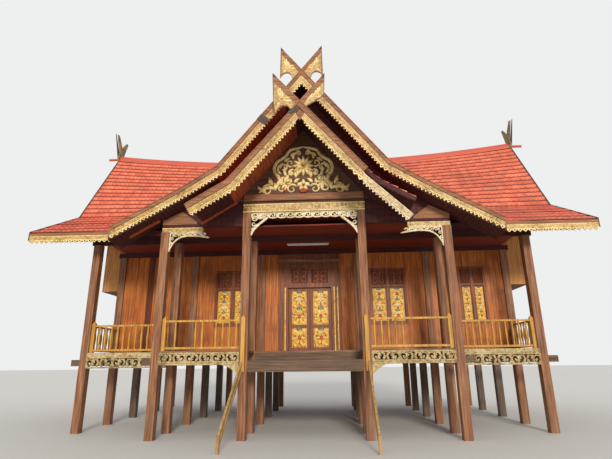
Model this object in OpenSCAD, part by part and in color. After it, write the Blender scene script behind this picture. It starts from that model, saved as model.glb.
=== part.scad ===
// Stilt house with boarded walls, an open front veranda, a saddle roof that flattens
// towards its eaves, and two stepped gables over the porch.
// Millimetres, +Z up. The origin is on the ground under the middle of the house and the
// porch faces -Y. A "step" is a distance behind the line of the porch posts.

/* [Plan] */
// Half distance between the two porch posts
porch_x = 1450; // [1300:10:1600]
// Half distance between the two side posts of the porch bay
side_x = 3550; // [3400:10:3700]
// Half distance between the corner posts
corner_x = 5870; // [5600:10:6100]
// Step back to the row of veranda posts
bay_step = 1060; // [900:10:1200]
// Step back to the front wall
wall_step = 2700; // [2500:10:2900]
// Step back to the ridge
ridge_step = 4510; // [4300:10:4700]
// Width of a square post
post_w = 200; // [160:5:220]

/* [Levels] */
// Top of the porch landing
landing_z = 1720; // [1650:10:1780]
// Top of the veranda and house floors
floor_z = 1950; // [1900:10:2050]
// Thickness of a boarded floor
floor_t = 50; // [40:5:60]
// Underside of the plates on the post heads
plate_z = 4880; // [4800:10:4950]
// Height of a plate
plate_h = 150; // [120:5:180]

/* [Walls] */
// Thickness of a boarded wall on its studs
wall_t = 80; // [60:5:100]
// Underside of the window openings
window_z = 2700; // [2600:10:2800]
// Height of the window openings
window_h = 1700; // [1500:10:1800]
// Width of the doorway between its jambs
door_w = 1300; // [1200:10:1400]
// Height of a door leaf
door_h = 1850; // [1800:10:1900]
// Thickness of a door leaf
leaf_t = 45; // [35:5:50]
// Gap all round a door leaf
leaf_gap = 6; // [5:0.5:10]

/* [Main roof] */
// Half length of the roof, ridge and eaves alike
verge_x = 7360; // [7200:10:7500]
// Step back to the front eave
eave_step = 234; // [200:2:300]
// Top of the tiles at the eave
eave_z = 5040; // [5000:10:5080]
// Step back to the kink where the roof flattens
kink_step = 2360; // [2200:10:2500]
// Top of the tiles at the kink
kink_z = 6160; // [6000:10:6300]
// Top of the ridge at its two ends
ridge_end_z = 9280; // [9000:10:9500]
// Top of the ridge in the middle of its sag
ridge_mid_z = 8775; // [8700:5:8900]
// Upright thickness of tiles, battens and rafters
roof_t = 150; // [120:5:160]
// Courses of tiles between the eave and the kink
skirt_courses = 6; // [5:1:9]
// Courses of tiles between the kink and the ridge tiles
steep_courses = 15; // [12:1:18]
// Rise of each course's lower edge over the course below
course_h = 26; // [10:1:30]

/* [Gables] */
// Distance that the upper gable stands out in front of the porch posts
upper_out = 550; // [500:10:650]
// Distance that the lower gable stands out in front of the porch posts
lower_out = 1300; // [1200:10:1400]
// Step down from the upper gable's edge boards to its tiles
tile_drop = 200; // [150:5:220]
// Step down from the lower gable's edge boards to its tiles
lower_drop = 45; // [30:5:60]
// Upright thickness of the lower gable's roof
lower_t = 100; // [80:5:120]
// Half width of the lower gable's roof
lower_x = 2620; // [2500:10:2680]
// Width of the upper gable's boards, carving and teeth included
upper_board_w = 315; // [280:5:340]
// Width of the brown strip along their upper edge
upper_strip_w = 125; // [100:5:150]
// Width of the lower gable's boards, carving and teeth included
lower_board_w = 360; // [320:5:380]
// Width of the brown strip along their upper edge
lower_strip_w = 152; // [120:2:180]
// Spacing of the teeth along the carved boards
tooth_pitch = 80; // [70:5:110]

/* [Porch] */
// Underside of the carved beam over the porch
porch_beam_z = 5360; // [5300:10:5400]
// Height of the carved porch beam
porch_beam_h = 220; // [200:5:240]
// Reach of the stair rails in front of the porch posts
stair_reach = 1620; // [1550:10:1700]
// Height of the railings above the floor
rail_h = 720; // [650:10:800]
// Spacing of the balusters
baluster_pitch = 165; // [150:5:180]

/* [Hidden] */

$fn = 24;
board_t = 30;
touch = 0.01;

// Gap under a roof and along a joint, so that two pieces don't cut into each other
clear = 0.1;

back_reach = 2 * ridge_step - eave_step + board_t;
origin_step = (back_reach - stair_reach) / 2;
row_a = 0;
row_b = bay_step;
row_c = wall_step;
row_d = ridge_step - 110;
row_e = 2 * ridge_step - wall_step;
row_f = 2 * ridge_step - bay_step;
ceiling_z = plate_z + plate_h;
wall_in = wall_t / 2;
post_r = post_w / 2;
wall_top = plate_z;
pediment_step = -40;
pediment_t = 80;

// Place of a step in the frame
function at(step) = step - origin_step;

// Height of the ridge at x: a parabola that sags between the two verges
function ridge_z(x) = ridge_mid_z + (ridge_end_z - ridge_mid_z) * pow(x / verge_x, 2);

// Height of the main roof's tiles at x and at a step, on the front slope
function roof_z(x, step) = step < kink_step
    ? eave_z + (step - eave_step) * (kink_z - eave_z) / (kink_step - eave_step)
    : kink_z + (step - kink_step) * (ridge_z(x) - kink_z) / (ridge_step - kink_step);

// Step at which the front slope reaches a height, no further out than the eave
function step_at(x, z) = z < eave_z ? eave_step
    : z < kink_z ? eave_step + (z - eave_z) * (kink_step - eave_step) / (kink_z - eave_z)
    : kink_step + (z - kink_z) * (ridge_step - kink_step) / (ridge_z(x) - kink_z);

// Edge lines of the two gables, each from its apex down a steep rake to a flatter foot
upper_edge = [[0, 9242], [2200, 6470], [3000, 5957], [4800, 4930]];
lower_edge = [[0, 7805], [1740, 5760], [2690, 5190]];

// Length along stretch i of an edge line for each unit of run, and its fall
function rake(edge, i) = (edge[i][1] - edge[i + 1][1]) / (edge[i + 1][0] - edge[i][0]);
function run(edge, i) = sqrt(1 + pow(rake(edge, i), 2));

// Height at x of the line that runs parallel to an edge line, w below it. An edge line only
// flattens outwards, so each stretch lies where it is the highest of them all.
function edge_z(edge, x, w = 0) = max([for (i = [0:len(edge) - 2])
    edge[i][1] - rake(edge, i) * (x - edge[i][0]) - w * run(edge, i)]);

// Distance from the middle at which an edge line comes down to a height
function edge_x(edge, z) = max([for (i = [0:len(edge) - 2]) edge[i][0] + (edge[i][1] - z) / rake(edge, i)]);

// Corners, from x0 outwards, of the parallel line w below an edge line. The last one is the
// board's end, cut upright where lean is 0 and square to the board where it is 1.
function edge_corners(edge, x0, w, lean) = let (last = len(edge) - 2)
    concat([x0], [for (i = [0:1:last - 1])
        let (turn = (run(edge, i) - run(edge, i + 1)) / (rake(edge, i) - rake(edge, i + 1)),
            x = edge[i + 1][0] - w * turn)
        if (x > x0) x], [edge[last + 1][0] - lean * w * rake(edge, last) / run(edge, last)]);

// Draws its children and their mirror image across the middle of the house
module both_sides() {
    children();
    mirror([1, 0, 0]) children();
}

// Solid through a list of rings. Each ring is a band: its points run along one side and
// back along the other, counter-clockwise seen from outside the last ring.
module loft(rings) {
    n = len(rings[0]);
    last = len(rings) - 1;
    points = [for (ring = rings) each ring];
    sides = [for (i = [0:last - 1], j = [0:n - 1])
        let (k = (j + 1) % n, a = i * n + j, b = i * n + k, c = a + n, d = b + n)
        each [[a, d, b], [a, c, d]]];
    caps = [for (j = [0:n / 2 - 2]) let (a = j, b = j + 1, c = n - 2 - j, d = n - 1 - j, e = last * n)
        each [[a, c, d], [a, b, c], [e + a, e + c, e + b], [e + a, e + d, e + c]]];
    polyhedron(points, concat(sides, caps), convexity = 6);
}

// Upright square post on the point x and step, between two heights
module post(x, step, z0, z1, w = post_w) {
    translate([x - w / 2, at(step) - w / 2, z0]) cube([w, w, z1 - z0]);
}

// Block between two x, two steps and two heights
module block(x0, x1, s0, s1, z0, z1) {
    translate([x0, at(s0), z0]) cube([x1 - x0, s1 - s0, z1 - z0]);
}

// Plate of the house's cross section, drawn in x and z, between two steps
module across(s0, s1) {
    translate([0, at(s1), 0]) rotate([90, 0, 0]) linear_extrude(s1 - s0) children();
}

// Plate of the house's long section, drawn in steps and z, between two x
module along(x0, x1) {
    translate([x0, at(0), 0]) rotate([90, 0, 90]) linear_extrude(x1 - x0) children();
}

// Straight square bar between two points
module bar(a, b, w) {
    v = b - a;
    translate(a) rotate([0, acos(v[2] / norm(v)), atan2(v[1], v[0])])
        translate([-w / 2, -w / 2, 0]) cube([w, w, norm(v)]);
}

module porch_posts() {
    color("#7a5540") both_sides() post(porch_x, row_a, 0, porch_beam_z);
}

module side_posts() {
    color("#7a5540") both_sides() post(side_x, row_a, 0, plate_z + 10);
}

module veranda_posts() {
    color("#7a5540") both_sides() for (x = [porch_x, side_x, corner_x]) post(x, row_b, 0, plate_z);
}

module wall_posts() {
    color("#7a5540") both_sides() for (x = [porch_x, side_x, corner_x]) post(x, row_c, 0, plate_z);
}

module back_posts() {
    color("#7a5540") both_sides() for (x = [porch_x, side_x, corner_x]) post(x, row_f, 0, plate_z);
}

// Lower edge of the floor beams, their height and width, and half their length
beam_z = 1620;
beam_h = 160;
beam_w = 100;
beam_x = corner_x + 430;
joist_h = floor_z - floor_t - beam_z - beam_h;

module middle_stilts() {
    color("#6b5648") both_sides() for (x = [porch_x, side_x, corner_x], row = [row_d, row_e])
        post(x, row, 0, beam_z + beam_h);
}

// Beams along the house, each on the back of its row of posts
module floor_beams() {
    color("#6b5648") {
        both_sides() block(porch_x + post_r, side_x + 400, post_r, post_r + beam_w, beam_z, beam_z + beam_h);
        for (row = [row_b, row_c, row_d, row_e])
            block(-beam_x, beam_x, row + post_r, row + post_r + beam_w, beam_z, beam_z + beam_h);
        block(-beam_x, beam_x, row_f - post_r - beam_w, row_f - post_r, beam_z, beam_z + beam_h);
    }
}

// Joists on the beams, clear of every post
module floor_joists() {
    z = beam_z + beam_h;
    color("#6b5648") {
        both_sides() {
            for (x = [480, 1250, 4300, 5050, 5720])
                block(x - 40, x + 40, row_b + post_r, row_f - post_r, z, z + joist_h);
            for (x = [1750, 2500, 3250]) block(x - 40, x + 40, row_a, row_f - post_r, z, z + joist_h);
        }
    }
}

// Floor of the veranda: the long strip before the wall and an arm on each side of the landing
module veranda_floor() {
    color("#9c7a52") difference() {
        union() {
            block(-corner_x - post_r, corner_x + post_r, row_b - post_r, row_c, floor_z - floor_t, floor_z);
            both_sides() block(porch_x - post_r + 20, side_x + post_r - 20, board_t - post_r, row_b,
                floor_z - floor_t, floor_z);
        }
        both_sides() {
            for (x = [porch_x, side_x], row = [row_a, row_b, row_c])
                post(x, row, floor_z - 2 * floor_t, floor_z + floor_t);
            for (row = [row_b, row_c]) post(corner_x, row, floor_z - 2 * floor_t, floor_z + floor_t);
        }
    }
}

module house_floor() {
    color("#8a5a30") difference() {
        block(-corner_x - wall_in, corner_x + wall_in, row_c, row_f, floor_z - floor_t, floor_z);
        both_sides() for (x = [porch_x, side_x, corner_x], row = [row_c, row_f])
            post(x, row, floor_z - 2 * floor_t, floor_z + floor_t);
    }
}

// Low landing between the porch posts, with its front beam and the riser up to the veranda
module porch_landing() {
    x = porch_x - post_r;
    color("#6b5648") {
        block(-x, x, row_a - 80, row_b - post_r - board_t, landing_z - floor_t, landing_z);
        block(-x, x, row_a - 80, row_a + 20, landing_z - 260, landing_z - floor_t);
        block(-x, x, row_b - post_r - board_t, row_b - post_r, landing_z - 260, floor_z - floor_t);
    }
}

// Carved board under a floor's edge, from x0 to x1, with a scalloped foot
module edge_board(x0, x1, step, z0, z1) {
    count = max(1, round((x1 - x0) / 240));
    pitch = (x1 - x0) / count;
    across(step, step + board_t) difference() {
        translate([x0, z0]) square([x1 - x0, z1 - z0]);
        for (i = [0:count - 1]) translate([x0 + (i + 0.5) * pitch, z0]) circle(r = pitch * 0.28);
    }
}

// Carved boards of one side, with a ledge and a curved bracket under the inner one
module floor_trim() {
    x = porch_x + post_r;
    ledge_z = 1625;
    edge_board(x, side_x - post_r, row_a - post_r, 1670, 1915);
    block(x, side_x - post_r, row_a - post_r, row_a - post_r + 45, ledge_z, 1670);
    across(row_a - post_r, row_a - post_r + board_t) translate([x, ledge_z])
        polygon([[0, touch], [400, touch], [380, -45], [290, -95], [150, -135], [0, -225]]);
    edge_board(side_x + post_r, corner_x - post_r, row_b - post_r - board_t, 1560, 1850);
    block(side_x + post_r, corner_x - post_r, row_b - post_r - board_t, row_b - post_r, 1850, floor_z);
}

module floor_trim_left() {
    color("#a8905c") mirror([1, 0, 0]) floor_trim();
}

module floor_trim_right() {
    color("#a8905c") floor_trim();
}

// Short square posts that end the railings, each against a main post
newel_w = 90;

module newel(x, step, z0) {
    top = floor_z + rail_h + 30;
    post(x, step, z0, top, newel_w);
    translate([x, at(step), top]) rotate([0, 0, 45])
        cylinder(h = 60, r1 = newel_w / 2 * 1.3, r2 = 14, $fn = 4);
}

module newel_posts() {
    color("#b98430") both_sides() {
        newel(porch_x, row_a - post_r - newel_w / 2, landing_z - 260);
        newel(side_x - post_r - newel_w / 2, row_a, floor_z);
        newel(corner_x - post_r - newel_w / 2, row_b, floor_z);
    }
}

// Turned baluster between the two rails of a railing
module baluster(x, step, z0, z1) {
    h = z1 - z0;
    translate([x, at(step), z0]) rotate_extrude($fn = 16)
        polygon([[0, 0], [22, 0], [22, 0.12 * h], [12, 0.16 * h], [24, 0.34 * h], [12, 0.52 * h],
            [20, 0.6 * h], [11, 0.68 * h], [20, 0.88 * h], [20, h], [0, h]]);
}

// Straight railing along x, with its balusters at the numbered places
module railing(x0, x1, step, places) {
    top = floor_z + rail_h;
    block(x0, x1, step - 30, step + 30, top - 45, top);
    block(x0, x1, step - 25, step + 25, floor_z + 40, floor_z + 90);
    for (i = places) baluster(x0 + (i + 0.6) * baluster_pitch, step, floor_z + 90 - touch, top - 45 + touch);
}

function full_row(length) = [0:floor(length / baluster_pitch) - 1];

module outer_railing() {
    x0 = side_x + post_r;
    x1 = corner_x - post_r - newel_w;
    railing(x0, x1, row_b, full_row(x1 - x0));
}

module railing_left() {
    color("#b98430") mirror([1, 0, 0]) {
        railing(porch_x + post_r, side_x - post_r - newel_w, row_a, [0, 1, 2, 3, 5, 6, 9]);
        outer_railing();
    }
}

module railing_right() {
    color("#b98430") {
        railing(porch_x + post_r, side_x - post_r - newel_w, row_a, [0, 1, 2, 3, 4]);
        outer_railing();
    }
}

// Railings at the two ends of the veranda, from the corner posts back to the wall posts
module side_railings() {
    length = row_c - row_b - post_w;
    color("#b98430") both_sides() translate([corner_x, at(row_b) + post_r, 0]) rotate([0, 0, 90])
        translate([0, -at(0), 0]) railing(0, length, 0, full_row(length));
}

// Side of the old stair: two slanting bars with short pieces between, and a post at the foot,
// which stands further out than the head by its splay
module stair_rail(splay) {
    newel_face = row_a - post_r - newel_w;
    top = [porch_x + 20, at(newel_face + 20), landing_z - 40];
    foot = [porch_x + 20 + splay, at(30 - stair_reach), 300];
    down = [0, 0, -190];
    difference() {
        union() {
            bar(top, foot, 50);
            bar(top + down, foot + down * 0.9, 50);
            for (t = [0.1:0.145:0.97]) {
                p = top + (foot - top) * t;
                bar(p, p + down, 36);
            }
        }
        block(porch_x - post_w, porch_x + post_w, newel_face, 0, 0, floor_z);
    }
    post(foot[0], 30 - stair_reach, 0, foot[2] + 30, 60);
}

module stair_rail_left() {
    color("#9a7a4c") mirror([1, 0, 0]) stair_rail(130);
}

module stair_rail_right() {
    color("#9a7a4c") stair_rail(20);
}

// Width of the door surround on each side of the doorway
surround_w = 300;

// Wall panel between two x with a list of window openings, each [x0, x1]
module panel(x0, x1, step, openings = []) {
    difference() {
        block(x0, x1, step - wall_in, step + wall_in, floor_z, wall_top);
        for (o = openings) block(o[0], o[1], step - wall_t, step + wall_t, window_z, window_z + window_h);
    }
}

inner_window = [1800, 2900];
corner_window = [4460, 5240];

module front_wall(openings) {
    panel(door_w / 2 + surround_w, porch_x - post_r, row_c);
    panel(porch_x + post_r, side_x - post_r, row_c, [inner_window]);
    panel(side_x + post_r, corner_x - post_r, row_c, openings);
}

module front_wall_left() {
    color("#b8601e") mirror([1, 0, 0]) front_wall([]);
}

module front_wall_right() {
    color("#b8601e") front_wall([corner_window]);
}

// Doorway: the inner face of the wall is where the leaves close
door_foot = floor_z + 30;
door_top = door_foot + door_h + 2 * leaf_gap;
leaf_mid = 4;
leaf_w = door_w / 2 - leaf_gap - leaf_mid;
leaf_in = row_c + wall_in + 20;

// Radius of a hinge barrel, its height, and how far its axis stands inside the leaf's face
hinge_r = 8;
hinge_h = 90;
hinge_out = 13;
hinge_places = [0.15, 0.5, 0.85];

// Stepped upright sides of the door surround
module door_jambs() {
    color("#5e3220") both_sides() {
        block(door_w / 2, door_w / 2 + 110, row_c - wall_in - 40, leaf_in, floor_z, wall_top);
        block(door_w / 2 + 110, door_w / 2 + 200, row_c - wall_in - 20, row_c + wall_in, floor_z, wall_top);
        block(door_w / 2 + 200, door_w / 2 + surround_w, row_c - wall_in, row_c + wall_in, floor_z, wall_top);
    }
}

// Sill, transom and head between the jambs, with two panels over the transom
module door_head() {
    x = door_w / 2;
    color("#5e3220") {
        block(-x, x, row_c - wall_in - 20, leaf_in, floor_z, door_foot);
        block(-x, x, row_c - wall_in - 20, leaf_in, door_top, door_top + 130);
        block(-x, x, row_c - 20, row_c + 20, door_top + 130, door_top + 560);
        block(-x, x, row_c - wall_in - 20, row_c + wall_in, door_top + 560, wall_top);
        block(-x, x, row_c - wall_in - 60, row_c - wall_in - 20, door_top + 620, door_top + 700);
        for (px = [-x, -40, x - 80]) block(px, px + 80, row_c - 50, row_c + 30, door_top + 130, door_top + 560);
    }
}

// Right-hand leaf: a framed door with a tall panel over a short one, hung on three barrels
module door_leaf() {
    x0 = leaf_mid;
    x1 = x0 + leaf_w;
    z0 = door_foot + leaf_gap;
    rail = 90;
    split = z0 + 0.38 * door_h;
    color("#8a4a22") {
        difference() {
            block(x0, x1, leaf_in - leaf_t, leaf_in, z0, z0 + door_h);
            for (z = [[z0 + rail, split - rail / 2], [split + rail / 2, z0 + door_h - rail]])
                block(x0 + rail, x1 - rail, leaf_in - leaf_t - 1, leaf_in - leaf_t + 15, z[0], z[1]);
        }
        for (place = hinge_places) hinge_barrel(x1, -1, z0 + place * door_h);
    }
}

// Barrel on the hinge axis, with the plate on the outward (1) or inward (-1) side that holds it
module hinge_barrel(x, side, z) {
    plate = [6, 66];
    plate_t = 5;
    translate([x, at(leaf_in) + hinge_out, z]) cylinder(h = hinge_h, r = hinge_r);
    translate([x, 0, 0]) scale([side, 1, 1]) {
        block(plate[0], plate[1], leaf_in, leaf_in + plate_t, z, z + hinge_h);
        block(0, 3 * plate[0], leaf_in + plate_t - touch, leaf_in + hinge_out, z, z + hinge_h);
    }
}

// Lower half of each hinge, on the jamb, with the leaf's barrel standing on it
module door_hinges() {
    x1 = leaf_mid + leaf_w;
    foot = door_foot + leaf_gap;
    color("#3a3430") both_sides() for (place = hinge_places)
        hinge_barrel(x1, 1, foot + place * door_h - hinge_h - 1);
}

module door_leaf_right() {
    door_leaf();
}

module door_leaf_left() {
    mirror([1, 0, 0]) door_leaf();
}

// Window between two x: a frame, a middle rail, two closed shutters and two panels above
module window(x0, x1, step, out = -1) {
    frame = 55;
    z0 = window_z;
    z1 = window_z + window_h;
    rail_z = z0 + 1120;
    mid = (x0 + x1) / 2;
    difference() {
        block(x0, x1, step - wall_in - 15, step + wall_in + 15, z0, z1);
        block(x0 + frame, x1 - frame, step - 100, step - 12, z0 + frame, rail_z);
        block(x0 + frame, x1 - frame, step + 12, step + 100, z0 + frame, rail_z);
        block(x0 + frame, x1 - frame, step - 100, step - 12, rail_z + frame, z1 - frame);
        block(x0 + frame, x1 - frame, step + 12, step + 100, rail_z + frame, z1 - frame);
    }
    block(mid - 35, mid + 35, step - 45, step - 12, z0 + frame, z1 - frame);
}

module front_windows_left() {
    color("#8a4a22") mirror([1, 0, 0]) window(inner_window[0], inner_window[1], row_c);
}

module front_windows_right() {
    color("#8a4a22") for (w = [inner_window, corner_window]) window(w[0], w[1], row_c);
}

// End wall: its gable follows the underside of the roof at the wall's inner face
module side_wall() {
    x = corner_x - wall_in;
    back = function(step) 2 * ridge_step - step;
    front = [for (s = [row_b + 50, kink_step]) [s, roof_z(x, s) - roof_t - clear]];
    along(x, x + wall_t) difference() {
        polygon(concat([[row_c + post_r, floor_z], [row_c + post_r, ceiling_z], [row_b + 50, ceiling_z]],
            front, [[ridge_step, ridge_z(x) - roof_t - clear]],
            [for (i = [1, 0]) [back(front[i][0]), front[i][1]]],
            [[back(row_b + 50), ceiling_z], [row_f - post_r, ceiling_z], [row_f - post_r, floor_z]]));
    }
}

module side_wall_left() {
    color("#b8601e") mirror([1, 0, 0]) side_wall();
}

module side_wall_right() {
    color("#b8601e") side_wall();
}

back_window = [1950, 3050];

module back_wall() {
    color("#b8601e") {
        panel(-porch_x + post_r, porch_x - post_r, row_f);
        both_sides() {
            panel(porch_x + post_r, side_x - post_r, row_f, [back_window]);
            panel(side_x + post_r, corner_x - post_r, row_f);
        }
    }
}

module back_windows() {
    color("#8a4a22") both_sides() window(back_window[0], back_window[1], row_f);
}

// How far a plate runs past the corner post's middle
plate_over = 180;

// Boarded box that hangs outside an end wall under the roof
gable_z = 3830;
gable_x = corner_x + 630;
gable_t = 60;

module side_gable() {
    x0 = corner_x + wall_in;
    t = gable_t;
    under = function(s) roof_z(gable_x - t, s) - roof_t - clear;
    back = 2 * ridge_step;
    outline = [[row_c, gable_z], [row_c, under(row_c)], [ridge_step, under(ridge_step)],
        [back - row_c, under(row_c)], [back - row_c, gable_z]];
    along(gable_x - t, gable_x) polygon(outline);
    difference() {
        union() {
            block(x0, gable_x - t + touch, row_c, back - row_c, gable_z, gable_z + 50);
            for (s = [row_c, back - row_c - t])
                block(x0, gable_x - t + touch, s, s + t, gable_z, roof_z(x0, row_c) - roof_t - clear);
        }
        post(corner_x, row_c, 0, plate_z);
        block(0, corner_x + plate_over, row_c - 50, row_c + 50, plate_z, ceiling_z);
    }
}

module side_gable_left() {
    color("#8a4a1e") mirror([1, 0, 0]) side_gable();
}

module side_gable_right() {
    color("#8a4a1e") side_gable();
}

// Plates that lie on the heads of three rows of posts
module plates() {
    color("#5a3524") for (row = [row_b, row_c, row_f])
        block(-corner_x - plate_over, corner_x + plate_over, row - 50, row + 50, plate_z, ceiling_z);
}

// Purlins on the outer plates, bevelled to the roof they carry
module purlins() {
    s0 = row_b - 50;
    s1 = row_b + 50;
    under = function(s) roof_z(0, s) - roof_t - clear;
    profile = [[s0, ceiling_z], [s1, ceiling_z], [s1, under(s1)], [s0, under(s0)]];
    color("#5a3524") along(-verge_x + 60, verge_x - 60) {
        polygon(profile);
        translate([2 * ridge_step, 0]) mirror([1, 0]) polygon(profile);
    }
}

// Boards over the veranda: a strip behind the purlin and one before it in the porch bay
module veranda_ceiling() {
    t = 30;
    x = side_x + post_r;
    color("#4a1c14") {
        block(-corner_x + wall_in, corner_x - wall_in, row_b + 50, row_c + 50, ceiling_z, ceiling_z + t);
        difference() {
            block(-x, x, pediment_step + pediment_t, row_b - 50, ceiling_z, ceiling_z + t);
            block(-porch_x - post_r, porch_x + post_r, 0, post_r, ceiling_z - t, ceiling_z + 2 * t);
        }
    }
}

// Half width of the ridge tiles, and their height
cap_w = 130;
cap_h = 90;

// Lower edges of the tile courses, from the eave to the foot of the ridge tiles
function course_steps() = concat(
    [for (i = [0:skirt_courses - 1]) eave_step + i * (kink_step - eave_step) / skirt_courses],
    [for (i = [0:steep_courses]) kink_step + i * (ridge_step - cap_w - 10 - kink_step) / steep_courses]);

// Rise of a course at x. It all but ends a station away from the valley of the upper gable,
// whose roof is seated on the plain slope.
function course_rise(x, step, valley) =
    !valley || abs(x) - station_gap > edge_x(upper_edge, roof_z(x, step) + tile_drop) ? course_h : 1;

// Section of a slope: a saw-tooth line of courses up to the ridge, and back along the rafters
function slope_ring(x, valley) = let (steps = course_steps(), last = len(steps) - 1,
    top = [for (k = [0:last - 1]) each [[steps[k], course_rise(x, steps[k], valley)], [steps[k + 1], 0]]],
    under = concat([steps[0]], [for (k = [1:last]) each [steps[k], steps[k] + 40]]))
    concat([for (p = top) [x, at(p[0]), roof_z(x, p[0]) + p[1]]], [[x, at(ridge_step), ridge_z(x)]],
        [[x, at(ridge_step), ridge_z(x) - roof_t]],
        [for (i = [len(under) - 2:-1:0]) [x, at(under[i]), roof_z(x, under[i]) - roof_t]]);

// Places of the sections on one half: even gaps, then the two faces of each end wall
station_gap = 1000;
half_stations = [0, 1000, 2000, 3000, 4000, 4950, corner_x - wall_in, corner_x + wall_in,
    gable_x - gable_t, gable_x, verge_x];
stations = concat([for (i = [len(half_stations) - 1:-1:1]) half_stations[i]], [for (x = half_stations) -x]);

module main_slope(valley) {
    loft([for (x = stations) slope_ring(x, valley)]);
}

module main_roof_front() {
    x = side_x + post_r + 30;
    color("#c8503c") difference() {
        main_slope(true);
        block(-x, x, 0, 600, eave_z - 2 * roof_t, kink_z);
    }
}

module main_roof_back() {
    color("#c8503c") translate([0, 2 * at(ridge_step), 0]) mirror([0, 1, 0]) main_slope(false);
}

// Fall of the upper gable's ridge between the pediment and the main ridge. It fades out
// towards the kink, so that the gable's foot runs level.
upper_fall = upper_edge[0][1] - tile_drop - ridge_mid_z - 6;
fade_x = 350;
function fall_at(x) = upper_fall * min(1, max(0, (upper_edge[1][0] - x) / (upper_edge[1][0] - fade_x)));

// Pitch of the main roof in the middle, and the place there where the upper gable's tiles come
// down to the foot of the ridge tiles
mid_pitch = (ridge_mid_z - kink_z) / (ridge_step - kink_step);
cap_x = edge_x(upper_edge, ridge_mid_z - cap_w * mid_pitch + tile_drop + upper_fall);

// One slope of the upper gable, from its edge boards back to where it lands on the main roof
module upper_slope() {
    kink_x = upper_edge[1][0];
    fade = [for (i = [0:10]) fade_x + i * (kink_x - fade_x) / 10];
    bends = function(z) [for (t = [roof_t, 0]) edge_x(upper_edge, z + tile_drop + t)];
    xs = concat([0, cap_x], fade, bends(kink_z), [upper_edge[2][0], 3500], bends(eave_z), [upper_edge[3][0]]);
    front = at(-upper_out);
    middle = at(pediment_step + pediment_t);
    seat = 8;
    loft([for (x = xs)
        let (top = edge_z(upper_edge, x) - tile_drop, under = top - roof_t, fall = fall_at(x),
            landing = function(z) at(min(step_at(x, z) - seat, ridge_step - cap_w)))
        [[x, front, under], [x, middle, under], [x, landing(under - fall), under - fall],
            [x, landing(top - fall), top - fall], [x, middle, top], [x, front, top]]]);
}

module upper_roof_right() {
    color("#c8503c") upper_slope();
}

module upper_roof_left() {
    color("#c8503c") mirror([1, 0, 0]) upper_slope();
}

// Slopes of the lower gable, from its edge boards back to the upper pediment, each with its
// foot cut square
module porch_slope() {
    kink_x = lower_edge[1][0];
    foot_x = lower_x - lower_t * rake(lower_edge, 1) / pow(run(lower_edge, 1), 2);
    top = function(x) [x, edge_z(lower_edge, x) - lower_drop];
    under = function(x) top(x) - [0, lower_t];
    across(-lower_out, pediment_step)
        polygon([top(0), top(kink_x), top(lower_x), under(foot_x), under(kink_x), under(0)]);
}

module porch_roof_right() {
    color("#8a4a2e") porch_slope();
}

module porch_roof_left() {
    color("#8a4a2e") mirror([1, 0, 0]) porch_slope();
}

// Ridge tiles along the sagging main ridge and the upper gable's ridge, which runs level to
// the pediment and then falls, and the ends of the ridge pole
module ridge_caps() {
    w = cap_w;
    h = cap_h;
    seat = 2;
    section = function(pitch) let (d = w * pitch) [[-w, -d], [0, 0], [w, -d], [w, h - d], [0, h], [-w, h - d]];
    ring = function(x) [for (p = section(mid_pitch)) [x, at(ridge_step + p[0]), ridge_z(x) + p[1] + seat]];
    top = upper_edge[0][1] - tile_drop;
    gable_ring = function(step, z) [for (p = section(rake(upper_edge, 0))) [p[0], at(step), z + p[1]]];
    color("#8c3a34") {
        loft([for (i = [len(stations) - 1:-1:0]) ring(stations[i])]);
        loft([gable_ring(ridge_step - w, top - upper_fall), gable_ring(pediment_step + pediment_t, top),
            gable_ring(-upper_out, top)]);
        both_sides() translate([verge_x + 2 * board_t, at(ridge_step), ridge_end_z - 40])
            rotate([0, 90, 0]) cylinder(h = 380, r = 45);
    }
}

// Board along the roof's edge, from the eave over the kink to a pointed horn past the ridge
module verge_board() {
    d = 210;
    rise = 40;
    front = eave_step - board_t;
    pitch = (ridge_end_z - kink_z) / (ridge_step - kink_step);
    past = function(run, z) [ridge_step + run, ridge_end_z + z + run * pitch];
    polygon([[front, eave_z - d], [front, eave_z + rise], [kink_step, kink_z + rise], past(130, rise),
        past(480, rise + 84), past(160, -1.1 * d), past(0, -1.4 * d), [kink_step + 60, kink_z - d]]);
}

module verge_boards_front() {
    color("#54463c") both_sides() along(verge_x, verge_x + board_t) verge_board();
}

module verge_boards_back() {
    color("#54463c") both_sides() along(verge_x + board_t, verge_x + 2 * board_t)
        translate([2 * ridge_step, 0]) mirror([1, 0]) verge_board();
}

// Depth of the teeth along every carved board
tooth_h = 38;

// Toothed board hung from an eave between two x
module eave_board(x0, x1, step) {
    count = round((x1 - x0) / 130);
    pitch = (x1 - x0) / count;
    z0 = eave_z - 285;
    across(step, step + board_t) polygon(concat([[x0, eave_z]], [for (i = [0:count - 1])
        each [[x0 + i * pitch, z0 + tooth_h], [x0 + (i + 0.5) * pitch, z0]]],
        [[x1, z0 + tooth_h], [x1, eave_z]]));
}

module eave_boards() {
    color("#c9a860") {
        both_sides() eave_board(upper_edge[3][0] + 30, verge_x, eave_step - board_t);
        eave_board(-verge_x, verge_x, 2 * ridge_step - eave_step);
    }
}

// Board of one width under an edge line, between two distances below it
function edge_band(edge, x0, w0, w1, lean) = let (outer = edge_corners(edge, x0, w1, lean))
    concat([for (x = edge_corners(edge, x0, w0, lean)) [x, edge_z(edge, x, w0)]],
        [for (i = [len(outer) - 1:-1:0]) [outer[i], edge_z(edge, outer[i], w1)]]);

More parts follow.
